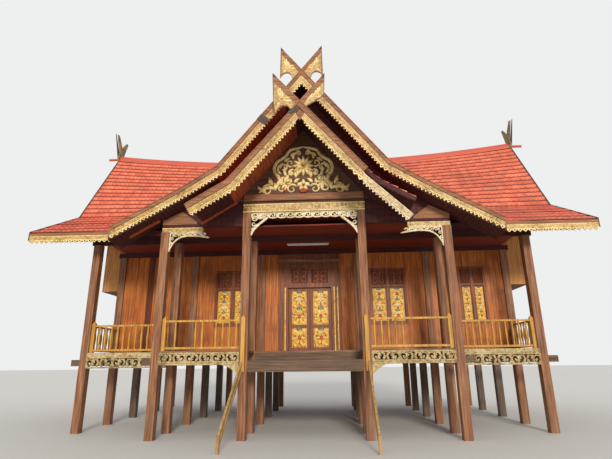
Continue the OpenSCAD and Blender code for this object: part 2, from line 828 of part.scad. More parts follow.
// The same board with a row of teeth along its lower side
function toothed_band(edge, x0, w0, w1, lean) = let (ends = edge_corners(edge, x0, w1, lean),
    length = ends[len(ends) - 1] - x0, count = round(length / tooth_pitch), p = length / count)
    concat([for (x = edge_corners(edge, x0, w0, lean)) [x, edge_z(edge, x, w0)]], [for (i = [count:-1:1])
        let (a = x0 + i * p, b = a - p / 2)
        each [[a, edge_z(edge, a, w1 - tooth_h)], [b, edge_z(edge, b, w1)]]],
        [[x0, edge_z(edge, x0, w1 - tooth_h)]]);

// Horn of a gable board: the board runs on past the apex to its tip, then back along a carved
// foot, a list of points that ends on the other board
module horn(edge, tip_x, foot) {
    z = edge[0][1];
    polygon(concat([[0, z - 60], [0, z], [tip_x, z + rake(edge, 0) * tip_x]], foot));
}

// Upper gable's edge boards, which cross at the apex and end in two hooked horns
module upper_gable_boards() {
    hook = [[578, 8980], [508, 9086], [430, 9128], [350, 9128], [280, 9070], [225, 8900]];
    color("#8a5a3c") across(-upper_out - board_t, -upper_out) both_sides_flat() {
        polygon(edge_band(upper_edge, 0, 0, upper_strip_w, 0.3));
        horn(upper_edge, 560, hook);
    }
}

module upper_carved_boards() {
    color("#c9a860") across(-upper_out - board_t, -upper_out) both_sides_flat()
        polygon(toothed_band(upper_edge, 0, upper_strip_w + clear, upper_board_w, 0.3));
}

// Small board that closes the fork under the lower gable's crossing, grown by a gap all round
module gusset(gap = 0) {
    polygon([[0, 7620 + gap], [-110 - gap, 7450], [0, 7240 - 2 * gap], [110 + gap, 7450]]);
}

// The right-hand boards of the lower gable have come apart at their joint: the brown strip
// ends there, and what is left of the carving hangs lower than on the other side
broken_edge = [lower_edge[0], [1571, 5959]];
hanging_edge = [[1440, 5844], [2519, 4793]];

module porch_gable_boards() {
    left_foot = [[655, 7834], [630, 7657], [592, 7418], [531, 7573], [433, 7648], [307, 7642], [195, 7520]];
    right_foot = [[598, 7936], [493, 7845], [365, 7739], [211, 7651], [140, 7600]];
    color("#8a5a3c") across(-lower_out - board_t, -lower_out) {
        mirror([1, 0]) {
            polygon(edge_band(lower_edge, 0, 0, lower_strip_w, 1));
            horn(lower_edge, 680, left_foot);
        }
        polygon(edge_band(broken_edge, 0, 0, lower_strip_w, 1));
        horn(lower_edge, 620, right_foot);
        gusset();
    }
}

module porch_carved_boards() {
    joint = [broken_edge[0], [1545, edge_z(broken_edge, 1545)]];
    top_w = lower_strip_w + clear;
    color("#c9a860") across(-lower_out - board_t, -lower_out) {
        difference() {
            union() {
                mirror([1, 0]) polygon(toothed_band(lower_edge, 0, top_w, lower_board_w, 1));
                polygon(toothed_band(joint, 0, top_w, lower_board_w, 0.5));
            }
            gusset(2 * clear);
        }
        polygon(toothed_band(hanging_edge, hanging_edge[0][0], 0, lower_board_w - lower_strip_w + 15, 1));
    }
}

// Wall of the upper gable, between its beams and the underside of its roof
module upper_pediment() {
    end_x = side_x + 100;
    foot_z = side_beam_z + side_beam_h;
    under = function(x) edge_z(upper_edge, x) - tile_drop - roof_t - clear;
    half = concat([for (x = [0, upper_edge[1][0], upper_edge[2][0], end_x]) [x, under(x)]], [[end_x, foot_z],
        [porch_x + post_r, foot_z], [porch_x + post_r, porch_beam_z + porch_beam_h],
        [0, porch_beam_z + porch_beam_h]]);
    color("#4a1c14") across(pediment_step, pediment_step + pediment_t) both_sides_flat() polygon(half);
}

// Short carved beams on the side posts
side_beam_x = 2600;
side_beam_z = plate_z + 10;
side_beam_h = 120;

module side_beams() {
    color("#c9a860") both_sides()
        block(side_beam_x, side_x + post_r, pediment_step, post_r, side_beam_z, side_beam_z + side_beam_h);
}

// Pierced boards under the short beams: shallow, with a bracket that curves down the post and
// a tip at the inner end
module side_valances() {
    x1 = side_x - post_r;
    length = x1 - side_beam_x;
    foot = function(t) side_beam_z - 160 + 60 * sin(180 * t) - 360 * pow(t, 8);
    color("#c9a860") across(-60, -60 + board_t) both_sides_flat()
        polygon(concat([[x1, side_beam_z], [side_beam_x, side_beam_z], [side_beam_x - 190, side_beam_z - 185]],
            [for (i = [0:12]) [side_beam_x + i * length / 12, foot(i / 12)]]));
}

// Pediment over the porch beam, under the lower gable's roof
module porch_pediment() {
    x = porch_x + post_r;
    z0 = porch_beam_z + porch_beam_h;
    ledge = [60, 240];
    wide_x = x + 130;
    under = function(x) [x, edge_z(lower_edge, x) - lower_drop - lower_t - clear];
    color("#7a5036") {
        across(pediment_step - 60, pediment_step) both_sides_flat()
            polygon([[0, z0], [x, z0], [x, z0 + ledge[0]], [wide_x, z0 + 100], under(wide_x), under(0)]);
        block(-x + 20, x - 20, pediment_step - 120, pediment_step - 60 + touch, z0 + ledge[0], z0 + ledge[1]);
    }
}

module porch_beam() {
    color("#c9a860") block(-porch_x - post_r, porch_x + post_r, row_a - post_r, post_r, porch_beam_z,
        porch_beam_z + porch_beam_h);
}

// Pierced board under the porch beam, with a bracket curved down each post
module porch_valance() {
    x = porch_x - post_r;
    drop = 170;
    bracket = 430;
    color("#c9a860") across(-60, -60 + board_t) difference() {
        translate([-x, porch_beam_z - drop - bracket]) square([2 * x, drop + bracket]);
        hull() both_sides_flat()
            translate([x - bracket - 60, porch_beam_z - drop - bracket]) circle(r = bracket);
        translate([-x - 1, porch_beam_z - drop - 2 * bracket]) square([2 * x + 2, bracket]);
    }
}

// Two-dimensional children and their mirror image
module both_sides_flat() {
    children();
    mirror([1, 0]) children();
}

porch_posts();
side_posts();
veranda_posts();
wall_posts();
back_posts();
middle_stilts();
floor_beams();
floor_joists();
veranda_floor();
house_floor();
porch_landing();
floor_trim_left();
floor_trim_right();
newel_posts();
railing_left();
railing_right();
side_railings();
stair_rail_left();
stair_rail_right();
front_wall_left();
front_wall_right();
door_jambs();
door_head();
door_hinges();
door_leaf_left();
door_leaf_right();
front_windows_left();
front_windows_right();
side_wall_left();
side_wall_right();
back_wall();
back_windows();
side_gable_left();
side_gable_right();
plates();
purlins();
veranda_ceiling();
main_roof_front();
main_roof_back();
upper_roof_left();
upper_roof_right();
porch_roof_left();
porch_roof_right();
ridge_caps();
verge_boards_front();
verge_boards_back();
eave_boards();
upper_gable_boards();
upper_carved_boards();
upper_pediment();
side_beams();
side_valances();
porch_gable_boards();
porch_carved_boards();
porch_pediment();
porch_beam();
porch_valance();
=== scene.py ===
"""Looks of a carved timber house on stilts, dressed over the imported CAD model.

Metres, +Z up, the porch faces -Y and the origin is on the ground under the middle of the house.
A "step" is a distance behind the line of the porch posts, as in the part's source.
"""

from __future__ import annotations

import logging
import math
from collections.abc import Callable, Sequence
from dataclasses import dataclass, field
from enum import Enum

import bpy
import numpy as np
from mathutils import Matrix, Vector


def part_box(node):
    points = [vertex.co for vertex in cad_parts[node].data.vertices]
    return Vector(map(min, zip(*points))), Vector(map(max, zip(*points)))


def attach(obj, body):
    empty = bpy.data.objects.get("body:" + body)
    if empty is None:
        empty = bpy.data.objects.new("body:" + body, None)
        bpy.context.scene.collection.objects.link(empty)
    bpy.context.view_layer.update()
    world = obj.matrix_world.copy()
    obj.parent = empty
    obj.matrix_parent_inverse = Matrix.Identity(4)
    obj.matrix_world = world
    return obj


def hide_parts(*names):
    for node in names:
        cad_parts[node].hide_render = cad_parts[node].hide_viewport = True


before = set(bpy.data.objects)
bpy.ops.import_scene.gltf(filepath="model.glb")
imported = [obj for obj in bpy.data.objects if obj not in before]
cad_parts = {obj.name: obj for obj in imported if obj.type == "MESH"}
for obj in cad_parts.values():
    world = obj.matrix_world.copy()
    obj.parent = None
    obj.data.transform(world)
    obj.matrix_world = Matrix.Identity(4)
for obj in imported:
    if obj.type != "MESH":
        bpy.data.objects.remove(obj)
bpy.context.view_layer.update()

log = logging.getLogger("house")
Array = np.ndarray
Places = np.ndarray | Sequence[float]
Line = Sequence[tuple[float, float]]
ORIGIN_STEP = 3.598
MM = 1000.0
TO_FRONT = np.array([0.0, -1.0, 0.0])
TO_BACK = np.array([0.0, 1.0, 0.0])
TO_RIGHT = np.array([1.0, 0.0, 0.0])
UP = np.array([0.0, 0.0, 1.0])
# Points on the path of every carved strand, the same for all so that they stack
STATIONS = 18
ALONG = np.linspace(0, 1, STATIONS)


def at(step: float | Array) -> float | Array:
    """Place along Y of a step."""
    return step - ORIGIN_STEP


# Colours and materials


def linear(hex_colour: str) -> tuple[float, float, float, float]:
    """Turns an sRGB hex colour into the linear one that a shader takes.

    Args:
        hex_colour: six digits after a hash.

    Returns:
        Red, green, blue and an alpha of 1.
    """
    parts = [int(hex_colour[i : i + 2], 16) / 255 for i in (1, 3, 5)]
    return (*(c / 12.92 if c <= 0.04045 else ((c + 0.055) / 1.055) ** 2.4 for c in parts), 1.0)


def add(
    tree: bpy.types.NodeTree, kind: str, links: dict[str | int, object], **settings: object
) -> bpy.types.Node:
    """Adds one node, sets it up and joins it to what feeds it.

    Args:
        tree: node tree that gets the node.
        kind: Blender's name of the node's class.
        links: for each input, a socket to link from or a value to set.
        settings: properties of the node itself.

    Returns:
        The new node.
    """
    node = tree.nodes.new(kind)
    for name, value in settings.items():
        setattr(node, name, value)
    for name, value in links.items():
        if isinstance(value, bpy.types.NodeSocket):
            tree.links.new(value, node.inputs[name])
        else:
            node.inputs[name].default_value = value
    return node


class Grain(Enum):
    """Direction in which a board's fibres run."""

    ALONG_X = (0, 1, 1)
    ALONG_Y = (1, 0, 1)
    ALONG_Z = (1, 1, 0)


def ramp(
    tree: bpy.types.NodeTree, fac: bpy.types.NodeSocket, stops: Sequence[tuple[float, str]]
) -> bpy.types.NodeSocket:
    """Colour ramp between hex colours.

    Args:
        tree: node tree of the material.
        fac: socket that picks the place on the ramp.
        stops: pairs of a place and a colour.

    Returns:
        The ramp's colour socket.
    """
    node = add(tree, "ShaderNodeValToRGB", {"Fac": fac})
    elements = node.color_ramp.elements
    while len(elements) < len(stops):
        elements.new(0.5)
    for element, (place, colour) in zip(elements, stops):
        element.position = place
        element.color = linear(colour)
    return node.outputs["Color"]


def started(name: str, roughness: float) -> tuple[bpy.types.Material, bpy.types.Node, bpy.types.NodeSocket]:
    """Starts a material that is as rough all over.

    Args:
        name: the finish's plain name.
        roughness: roughness of its shader.

    Returns:
        The material, its shader and the socket with the piece's own coordinates.
    """
    material = bpy.data.materials.new(name)
    material.use_nodes = True
    shader = material.node_tree.nodes["Principled BSDF"]
    shader.inputs["Roughness"].default_value = roughness
    place = add(material.node_tree, "ShaderNodeTexCoord", {}).outputs["Object"]
    return material, shader, place


def coated(
    tree: bpy.types.NodeTree, shader: bpy.types.Node, colour: bpy.types.NodeSocket, relief: dict[str, object]
) -> None:
    """Joins a colour and a fine relief to a shader.

    Args:
        tree: node tree of the material.
        shader: its shader.
        colour: socket of the finished colour.
        relief: height, strength and distance in metres of the relief.
    """
    tree.links.new(colour, shader.inputs["Base Color"])
    bump = add(tree, "ShaderNodeBump", relief)
    tree.links.new(bump.outputs["Normal"], shader.inputs["Normal"])


def stained(
    tree: bpy.types.NodeTree,
    colour: bpy.types.NodeSocket,
    noise: bpy.types.NodeSocket,
    reach: tuple[float, float, float],
    stain: str,
) -> bpy.types.NodeSocket:
    """Lays a stain over a colour where a broad noise runs high.

    Args:
        tree: node tree of the material.
        colour: socket of the clean colour.
        noise: socket of the broad noise.
        reach: noise where the stain starts, noise where it is full, and how much it then covers.
        stain: the stain's colour.

    Returns:
        Socket of the stained colour.
    """
    start, full, most = reach
    share = add(
        tree, "ShaderNodeMapRange", {"Value": noise, "From Min": start, "From Max": full, "To Max": most}
    )
    # A Mix node's colour sockets share their names with its number sockets, so they go by place
    links = {"Factor": share.outputs["Result"], 6: colour, 7: linear(stain)}
    return add(tree, "ShaderNodeMix", links, data_type="RGBA").outputs[2]


@dataclass(frozen=True)
class Timber:
    """Sawn hardwood that has stood outdoors: fibres drawn out along the board, pale and dark patches.

    The real fibre is under a millimetre wide, so its figure is drawn as streaks of grain_mm, coarse
    enough to show at the render's scale.
    """

    name: str
    dark: str
    middle: str
    pale: str
    grain: Grain = Grain.ALONG_Z
    grain_mm: float = 35.0
    stretch: float = 0.05
    patch_mm: float = 700.0
    patch: str = "#4a3a30"
    patch_share: float = 0.45
    roughness: float = 0.72
    bump_mm: float = 3.0
    ior: float = 1.45

    def build(self) -> bpy.types.Material:
        """Makes the material."""
        material, shader, place = started(self.name, self.roughness)
        tree = material.node_tree
        shader.inputs["IOR"].default_value = self.ior
        across = MM / self.grain_mm
        scale = [across * (axis if axis else self.stretch) for axis in self.grain.value]
        drawn = add(tree, "ShaderNodeMapping", {"Vector": place, "Scale": scale}).outputs["Vector"]
        streaks = {"Vector": drawn, "Scale": 1.0, "Detail": 4.0, "Roughness": 0.62}
        fibre = add(tree, "ShaderNodeTexNoise", streaks).outputs["Fac"]
        colour = ramp(tree, fibre, [(0.3, self.dark), (0.5, self.middle), (0.72, self.pale)])
        patches = {"Vector": place, "Scale": MM / self.patch_mm, "Detail": 5.0, "Roughness": 0.6}
        broad = add(tree, "ShaderNodeTexNoise", patches).outputs["Fac"]
        colour = stained(tree, colour, broad, (0.48, 0.72, self.patch_share), self.patch)
        coated(tree, shader, colour, {"Height": fibre, "Strength": 0.6, "Distance": self.bump_mm / MM})
        return material


@dataclass(frozen=True)
class ClayTile:
    """Fired clay roof tile: each tile has its own shade of coral, with rain streaks down the slope."""

    name: str = "clay_tile"
    dark: str = "#a84028"
    middle: str = "#e27252"
    pale: str = "#f49672"
    stain: str = "#5e3a34"
    stain_mm: float = 900.0
    grit_mm: float = 25.0
    roughness: float = 0.62

    def build(self) -> bpy.types.Material:
        """Makes the material."""
        material, shader, place = started(self.name, self.roughness)
        tree = material.node_tree
        # Each tile's own tone, with the painted shade of the course lips in it
        tone = add(tree, "ShaderNodeAttribute", {}, attribute_name="tile_tone_and_lip_shade").outputs["Fac"]
        fine = {"Vector": place, "Scale": MM / self.grit_mm, "Detail": 3.0}
        grit = add(tree, "ShaderNodeTexNoise", fine).outputs["Fac"]
        shade = add(tree, "ShaderNodeMath", {0: grit, 1: 0.35, 2: tone}, operation="MULTIPLY_ADD")
        colour = ramp(tree, shade.outputs[0], [(0.2, self.dark), (0.65, self.middle), (1.0, self.pale)])
        patches = {"Vector": place, "Scale": MM / self.stain_mm, "Detail": 6.0}
        broad = add(tree, "ShaderNodeTexNoise", patches).outputs["Fac"]
        colour = stained(tree, colour, broad, (0.52, 0.8, 0.4), self.stain)
        coated(tree, shader, colour, {"Height": grit, "Strength": 0.35, "Distance": 0.003})
        return material


@dataclass(frozen=True)
class GildedPaint:
    """Gold oil paint brushed on carved wood: uneven cover that wears to the ochre ground under it."""

    name: str
    bright: str
    deep: str
    worn: str
    wear_mm: float = 60.0
    cloud_mm: float = 454.5
    wear: float = 0.5
    roughness: float = 0.45

    def build(self) -> bpy.types.Material:
        """Makes the material."""
        material, shader, place = started(self.name, self.roughness)
        tree = material.node_tree
        fine = {"Vector": place, "Scale": MM / self.wear_mm, "Detail": 5.0}
        fleck = add(tree, "ShaderNodeTexNoise", fine).outputs["Fac"]
        wide = {"Vector": place, "Scale": MM / self.cloud_mm, "Detail": 3.0}
        broad = add(tree, "ShaderNodeTexNoise", wide).outputs["Fac"]
        cover = add(tree, "ShaderNodeMath", {0: broad, 1: 0.6, 2: fleck}, operation="MULTIPLY_ADD")
        low = 0.55 + 0.3 * (self.wear - 0.5)
        stops = [(low, self.worn), (low + 0.18, self.deep), (low + 0.4, self.bright)]
        colour = ramp(tree, cover.outputs[0], stops)
        coated(tree, shader, colour, {"Height": fleck, "Strength": 0.4, "Distance": 0.002})
        return material


@dataclass(frozen=True)
class PlainPaint:
    """Brushed enamel or a bare fitting: one colour, clouded a little by dust."""

    name: str
    colour: str
    dust: str
    roughness: float = 0.4
    metallic: float = 0.0
    dust_mm: float = 71.4

    def build(self) -> bpy.types.Material:
        """Makes the material."""
        material, shader, place = started(self.name, self.roughness)
        tree = material.node_tree
        cloud = add(tree, "ShaderNodeTexNoise", {"Vector": place, "Scale": MM / self.dust_mm, "Detail": 5.0})
        colour = ramp(tree, cloud.outputs["Fac"], [(0.42, self.colour), (0.75, self.dust)])
        tree.links.new(colour, shader.inputs["Base Color"])
        shader.inputs["Metallic"].default_value = self.metallic
        return material


class Finish(Enum):
    """The finishes of the house, each built once when a piece first asks for it."""

    # Oiled and sunned for years: satin red-brown, with paler worn patches
    POST = Timber("oiled_post_timber", "#5c3a26", "#8c5c3e", "#b07e5a", patch="#8a7058", patch_share=0.45)
    # Bare wood near damp ground: grey-brown and almost matt
    STILT = Timber(
        "weathered_stilt_timber", "#4a3a30", "#6b5648", "#857060", patch="#3a2e26", patch_share=0.5
    )
    # Rough-sawn floor timber, greyed by rain, its streaks along the beam
    BEAM = Timber("weathered_beam_timber", "#46342a", "#68503f", "#80664f", grain=Grain.ALONG_X)
    # Board worn pale by use, with darker streaks where dirt stays
    DECK = Timber("worn_floor_board", "#5a4030", "#86644a", "#a8886a", grain=Grain.ALONG_X)
    # Thinly oiled board that has gone a warm mid-brown, with few patches
    GABLE = Timber("brown_gable_board", "#6a4026", "#946242", "#b4835e", grain=Grain.ALONG_X, patch_share=0.3)
    # Orange-brown varnish that glows where it is whole, with dark runs where it has aged
    WALL = Timber(
        "varnished_wall_board",
        "#8c4212",
        "#bc661e",
        "#d8862e",
        patch="#5a2412",
        patch_share=0.55,
        roughness=0.5,
    )
    # The same varnish darkened by painted shade: dark red-brown
    WALL_SHADE = Timber("shaded_wall_board", "#461e10", "#6c3218", "#864420", patch="#3a1a10", patch_share=0.5)
    # Thicker varnish on planed frames: deep red-brown with a soft shine
    JOINERY = Timber("varnished_joinery", "#54280f", "#84441f", "#a8602e", patch="#40200f", roughness=0.5)
    # Boards with little varnish left, lightened further by painted sunlight: pale orange
    BOX = Timber("sunlit_pale_box_board", "#a86a34", "#cc8c4c", "#e4ac6a", patch="#8a4c24", patch_share=0.35)
    # Ochre oil paint on turned wood, its grain still showing through
    RAIL = Timber("ochre_painted_rail", "#96692a", "#c69038", "#e2b458", patch="#7a5a30", roughness=0.55)
    # Sawn timber without oil or paint, straw-coloured where it was cut
    STAIR = Timber("bare_stair_timber", "#7e5e3c", "#aa8650", "#c8a872", patch="#5a4632")
    # Maroon wood stain on the undersides, darkened by painted shade to nearly black
    SOFFIT = Timber(
        "shaded_maroon_soffit_board", "#2c0e10", "#461818", "#5c241c", grain=Grain.ALONG_X, patch_share=0.2
    )
    # Red wood stain on planed boards: dull brick red
    CEILING = Timber(
        "red_ceiling_board", "#5a1c10", "#7c2816", "#96381e", grain=Grain.ALONG_X, patch_share=0.2
    )
    # Brown stain behind the ornament, so that the gold stands out
    PEDIMENT = Timber("brown_pediment_board", "#3e281c", "#644230", "#7e5840", grain=Grain.ALONG_X)
    # Gold paint that the rain has mostly taken: olive-brown over grey wood
    FINIAL = GildedPaint("weathered_finial_paint", "#a09060", "#74663e", "#4c402c", roughness=0.7)
    # The undersides' red stain with painted sunlight: lighter and more orange
    SOFFIT_LIT = Timber(
        "sunlit_red_soffit_board", "#7a3016", "#aa4a24", "#c46434", grain=Grain.ALONG_Y, patch_share=0.3
    )
    # Unpainted edge board, silver-grey to dark brown
    VERGE = Timber("grey_verge_board", "#3c322c", "#54463c", "#6e5e50", grain=Grain.ALONG_Y)
    # Unglazed fired clay: coral red, each tile its own shade
    TILE = ClayTile()
    # The same clay on the ridge, cleaner because the rain runs off it
    RIDGE = ClayTile("ridge_tile", dark="#c85a42", stain="#7a3c30")
    # Pale gold oil paint, bright on the crowns and ochre where it has worn
    GOLD = GildedPaint("gold_painted_carving", "#fae6ac", "#e6c67c", "#a88440")
    # Ochre undercoat: the darker field that the gold carving stands on
    GOLD_GROUND = GildedPaint("ochre_carving_ground", "#cca868", "#a8844a", "#6c4e28")
    # Paint weathered to dull cream, with bare wood in the hollows
    PALE_CARVING = GildedPaint(
        "weathered_pale_carving", "#c8b48a", "#a8905c", "#6c5c40", wear=0.6, roughness=0.7
    )
    # Cream oil paint, warm white with yellowed edges
    CREAM = GildedPaint("cream_painted_valance", "#f4ead0", "#d8c496", "#9a8454")
    # Yellow gold paint kept fresh under the roof
    DOOR_GOLD = GildedPaint("yellow_gold_panel_carving", "#ffe06a", "#f0b832", "#b87c20")
    # Amber undercoat behind the yellow gold
    DOOR_GROUND = GildedPaint("yellow_panel_ground", "#e8b038", "#c08420", "#8a5818")
    # Glossy enamel dots between the scrolls
    TURQUOISE = PlainPaint("turquoise_enamel", "#2a8a90", "#4aa0a0")
    # Glossy red enamel on the blossoms
    RED = PlainPaint("red_enamel", "#b8301c", "#c05038")
    # White enamel, a little creamed by age
    WHITE = PlainPaint("white_enamel", "#f0ece0", "#d8d0bc")
    # Dark green enamel in the leaves
    GREEN = PlainPaint("dark_green_ground", "#24463a", "#3a5a48")
    # Painted shadow in the joint between two boards: a dark matt line
    JOINT_SHADOW = PlainPaint("joint_shadow_line", "#3c2418", "#4e3222", roughness=0.8)
    # Forged iron, oiled black, with a dull metal sheen
    BLACK = PlainPaint("blackened_iron", "#282624", "#3a3630", metallic=0.6)
    # Opal glass: smooth white
    LAMP = PlainPaint("opal_lamp_glass", "#f4f4f0", "#e0e0dc", roughness=0.25)


class Paintbox:
    """Keeps one Blender material for each finish."""

    def __init__(self) -> None:
        """Starts with no material made."""
        self._made: dict[Finish, bpy.types.Material] = {}

    def get(self, finish: Finish) -> bpy.types.Material:
        """Gives a finish's material, building it at its first use.

        Args:
            finish: the finish that a piece asks for.

        Returns:
            The material.
        """
        if finish not in self._made:
            self._made[finish] = finish.value.build()
        return self._made[finish]


PAINT = Paintbox()


# Surfaces


@dataclass
class Shell:
    """Points and faces of a surface that is still being worked out."""

    points: Array
    faces: list[Array]
    tones: Array | None = None

    def moved(self, x: float = 0.0, y: float = 0.0, z: float = 0.0) -> Shell:
        """Gives the shell shifted by a distance."""
        return Shell(self.points + np.array([x, y, z]), self.faces, self.tones)

    def mirrored(self) -> Shell:
        """Gives the shell's image across the middle of the house, with its faces still outwards."""
        return Shell(self.points * np.array([-1.0, 1.0, 1.0]), [f[:, ::-1] for f in self.faces], self.tones)

    def kept(self, test: Callable[[Array], Array]) -> Shell:
        """Drops the faces whose middles fail a test.

        Args:
            test: takes middles as rows of x, y, z and says which stay.

        Returns:
            A shell with the faces that stay.
        """
        faces, tones, start = [], [], 0
        for f in self.faces:
            stay = test(self.points[f].mean(axis=1))
            faces.append(f[stay])
            if self.tones is not None:
                tones.append(self.tones[start : start + len(f)][stay])
            start += len(f)
        used = np.unique(np.concatenate([f.ravel() for f in faces]))
        index = np.zeros(len(self.points), int)
        index[used] = np.arange(len(used))
        return Shell(self.points[used], [index[f] for f in faces], np.concatenate(tones) if tones else None)


def joined(shells: Sequence[Shell]) -> Shell:
    """Puts shells together as one, without merging their points."""
    points, faces, tones, start = [], [], [], 0
    for shell in shells:
        points.append(shell.points)
        faces.extend(f + start for f in shell.faces)
        if shell.tones is not None:
            tones.append(shell.tones)
        start += len(shell.points)
    return Shell(np.concatenate(points), faces, np.concatenate(tones) if tones else None)


def both(shell: Shell) -> Shell:
    """A shell and its image across the middle of the house."""
    return joined([shell, shell.mirrored()])


def lattice(points: Array, wrap_u: bool = False, wrap_v: bool = False, flip: bool = False) -> Shell:
    """Surface through a grid of points, one quad for each cell.

    Args:
        points: rows and columns of x, y, z.
        wrap_u: joins the last row to the first.
        wrap_v: joins the last column to the first.
        flip: turns the faces the other way.

    Returns:
        The surface as a shell.
    """
    n, m = points.shape[:2]
    i = np.arange(n if wrap_u else n - 1)[:, None]
    j = np.arange(m if wrap_v else m - 1)[None, :]
    i2, j2 = (i + 1) % n, (j + 1) % m
    quads = np.stack([i * m + j, i2 * m + j, i2 * m + j2, i * m + j2], axis=-1).reshape(-1, 4)
    return Shell(points.reshape(-1, 3), [quads[:, ::-1] if flip else quads])


def unit(v: Array) -> Array:
    """Vectors scaled to a length of 1."""
    return v / np.maximum(np.linalg.norm(v, axis=-1, keepdims=True), 1e-9)


def planks(
    starts: Places, ends: Places, width: float | Array, thick: float, face: Array, chamfer: float = 0.004
) -> Shell:
    """Boards with chamfered long edges, each between two points.

    The section is a rectangle with its four corners cut off by the chamfer, carried from the start
    to the end: width lies across the board in its face, thick along the face's normal.

    Args:
        starts: middle of each board's first end, one row each.
        ends: middle of each board's other end.
        width: width of the boards, one for all or one each.
        thick: thickness.
        face: normal of the boards' faces, one for all or one row each.
        chamfer: size of the cut corners.

    Returns:
        All boards as closed solids in one shell.
    """
    starts, ends = np.atleast_2d(starts).astype(float), np.atleast_2d(ends).astype(float)
    count = len(starts)
    width = np.broadcast_to(np.asarray(width, float), (count,))
    normal = unit(np.broadcast_to(np.asarray(face, float), (count, 3)))
    side = unit(np.cross(normal, ends - starts))
    normal = unit(np.cross(ends - starts, side))
    w, t, c = width[:, None] / 2, thick / 2, chamfer
    u = np.concatenate([w - c, w, w, w - c, c - w, -w, -w, c - w], axis=1)
    v = np.array([-t, c - t, t - c, t, t, t - c, c - t, -t])
    ring = u[:, :, None] * side[:, None, :] + v[None, :, None] * normal[:, None, :]
    points = np.stack([starts[:, None] + ring, ends[:, None] + ring], axis=1)
    base = (np.arange(count) * 16)[:, None, None]
    j = np.arange(8)
    k = (j + 1) % 8
    sides = np.stack([j, k, k + 8, j + 8], axis=-1)[None] + base
    caps = np.stack([j[::-1], j + 8])[None] + base
    return Shell(points.reshape(-1, 3), [sides.reshape(-1, 4), caps.reshape(-1, 8)])


def rows_of(x: float | Array, y: float | Array, z: float | Array) -> Array:
    """Rows of x, y, z, where any of the three may be one value for all."""
    return np.stack(np.broadcast_arrays(x, y, z), axis=-1)


def bar(corners: Sequence[Array]) -> Shell:
    """Closed board from the paths of its four long edges, taken in order round its section."""
    shell = lattice(np.stack(corners, axis=1), wrap_v=True, flip=True)
    last = (len(corners[0]) - 1) * len(corners)
    shell.faces.append(np.array([[3, 2, 1, 0], [last, last + 1, last + 2, last + 3]]))
    return shell


def on_face(y: float, x0: float = 0.0, z0: float = 0.0) -> Callable[[Array, Array], Array]:
    """Gives the function that places a motif on an upright face: x0 and z0 are added to its x and z."""
    return lambda u, v: rows_of(x0 + u, y, z0 + v)


def slab(x: Array, top: Array, foot: Array, front: float, back: float) -> Shell:
    """Flat board between two curves over x: the same outline at its face and at its back.

    Args:
        x: places across the board.
        top: height of its upper edge at each place.
        foot: height of its lower edge.
        front: place of its face along y.
        back: place of its back.

    Returns:
        The board as a closed solid.
    """
    section = ((top, front), (foot, front), (foot, back), (top, back))
    return bar([rows_of(x, y, z) for z, y in section])


def strands(paths: Array, half: Array, rise: float, out: Array, back: float = 0.0) -> Shell:
    """Carved strands with a rounded top, each along a path on a flat ground.

    The section is a low arch of six points: from one edge at the ground over two shoulders and
    down to the other edge, and back behind the ground. It narrows to nothing where the half
    width does.

    Args:
        paths: points of each strand, strands by points by x, y, z.
        half: half width at each point.
        rise: height of the crown over the ground.
        out: direction in which the carving stands up.
        back: depth of the strand behind the ground.

    Returns:
        The strands as closed tubes in one shell.
    """
    count, n = paths.shape[:2]
    out = unit(np.asarray(out, float))
    side = unit(np.cross(out, np.gradient(paths, axis=1)))
    full = np.max(half, axis=1, keepdims=True)
    scale = np.sqrt(np.clip(half / np.maximum(full, 1e-9), 0, 1))
    u = np.array([1.0, 0.75, 0.25, -0.25, -0.75, -1.0, -0.9, 0.9])
    v = np.array([0.0, 0.75, 1.0, 1.0, 0.75, 0.0, 0.0, 0.0])
    b = np.array([0, 0, 0, 0, 0, 0, 1.0, 1.0])
    ring = half[:, :, None, None] * u[None, None, :, None] * side[:, :, None, :]
    height = rise * v[None, None, :] * scale[:, :, None] - (back + 0.001) * b[None, None, :]
    ring = ring + height[..., None] * out
    points = paths[:, :, None, :] + ring
    m = len(u)
    base = (np.arange(count) * n * m)[:, None, None, None]
    i = np.arange(n - 1)[:, None]
    j = np.arange(m)[None, :]
    k = (j + 1) % m
    quads = np.stack([i * m + j, i * m + k, (i + 1) * m + k, (i + 1) * m + j], axis=-1)[None] + base
    j = np.arange(m)
    ends = np.stack([j[::-1], j + (n - 1) * m])[None] + (np.arange(count) * n * m)[:, None, None]
    return Shell(points.reshape(-1, 3), [quads.reshape(-1, 4), ends.reshape(-1, m)])


def lathe(profile: Line, x: Array, y: Array, z: Array, sides: int = 12) -> Shell:
    """Turned pieces: a profile of radius and height carried round an upright axis.

    Args:
        profile: pairs of radius and height, from the foot up, radii over nothing.
        x: place of each piece.
        y: place of each piece.
        z: height of each piece's foot.
        sides: sides of the turned section.

    Returns:
        The pieces with closed ends.
    """
    p = np.asarray(profile, float)
    angle = np.linspace(0, 2 * np.pi, sides, endpoint=False)
    one = np.stack(
        [p[:, :1] * np.cos(angle), p[:, :1] * np.sin(angle), np.broadcast_to(p[:, 1:], (len(p), sides))],
        axis=-1,
    )
    shell = lattice(one, wrap_v=True, flip=True)
    top = (len(p) - 1) * sides + np.arange(sides)
    shell.faces.append(np.stack([np.arange(sides)[::-1], top]))
    places = np.stack(np.broadcast_arrays(x, y, z), axis=-1).reshape(-1, 3)
    return copies(shell, places)


def copies(shell: Shell, offsets: Array) -> Shell:
    """The same shell at many places."""
    n = len(shell.points)
    points = (offsets[:, None, :] + shell.points[None]).reshape(-1, 3)
    start = (np.arange(len(offsets)) * n)[:, None, None]
    faces = [(f[None] + start).reshape(-1, f.shape[1]) for f in shell.faces]
    return Shell(points, faces)


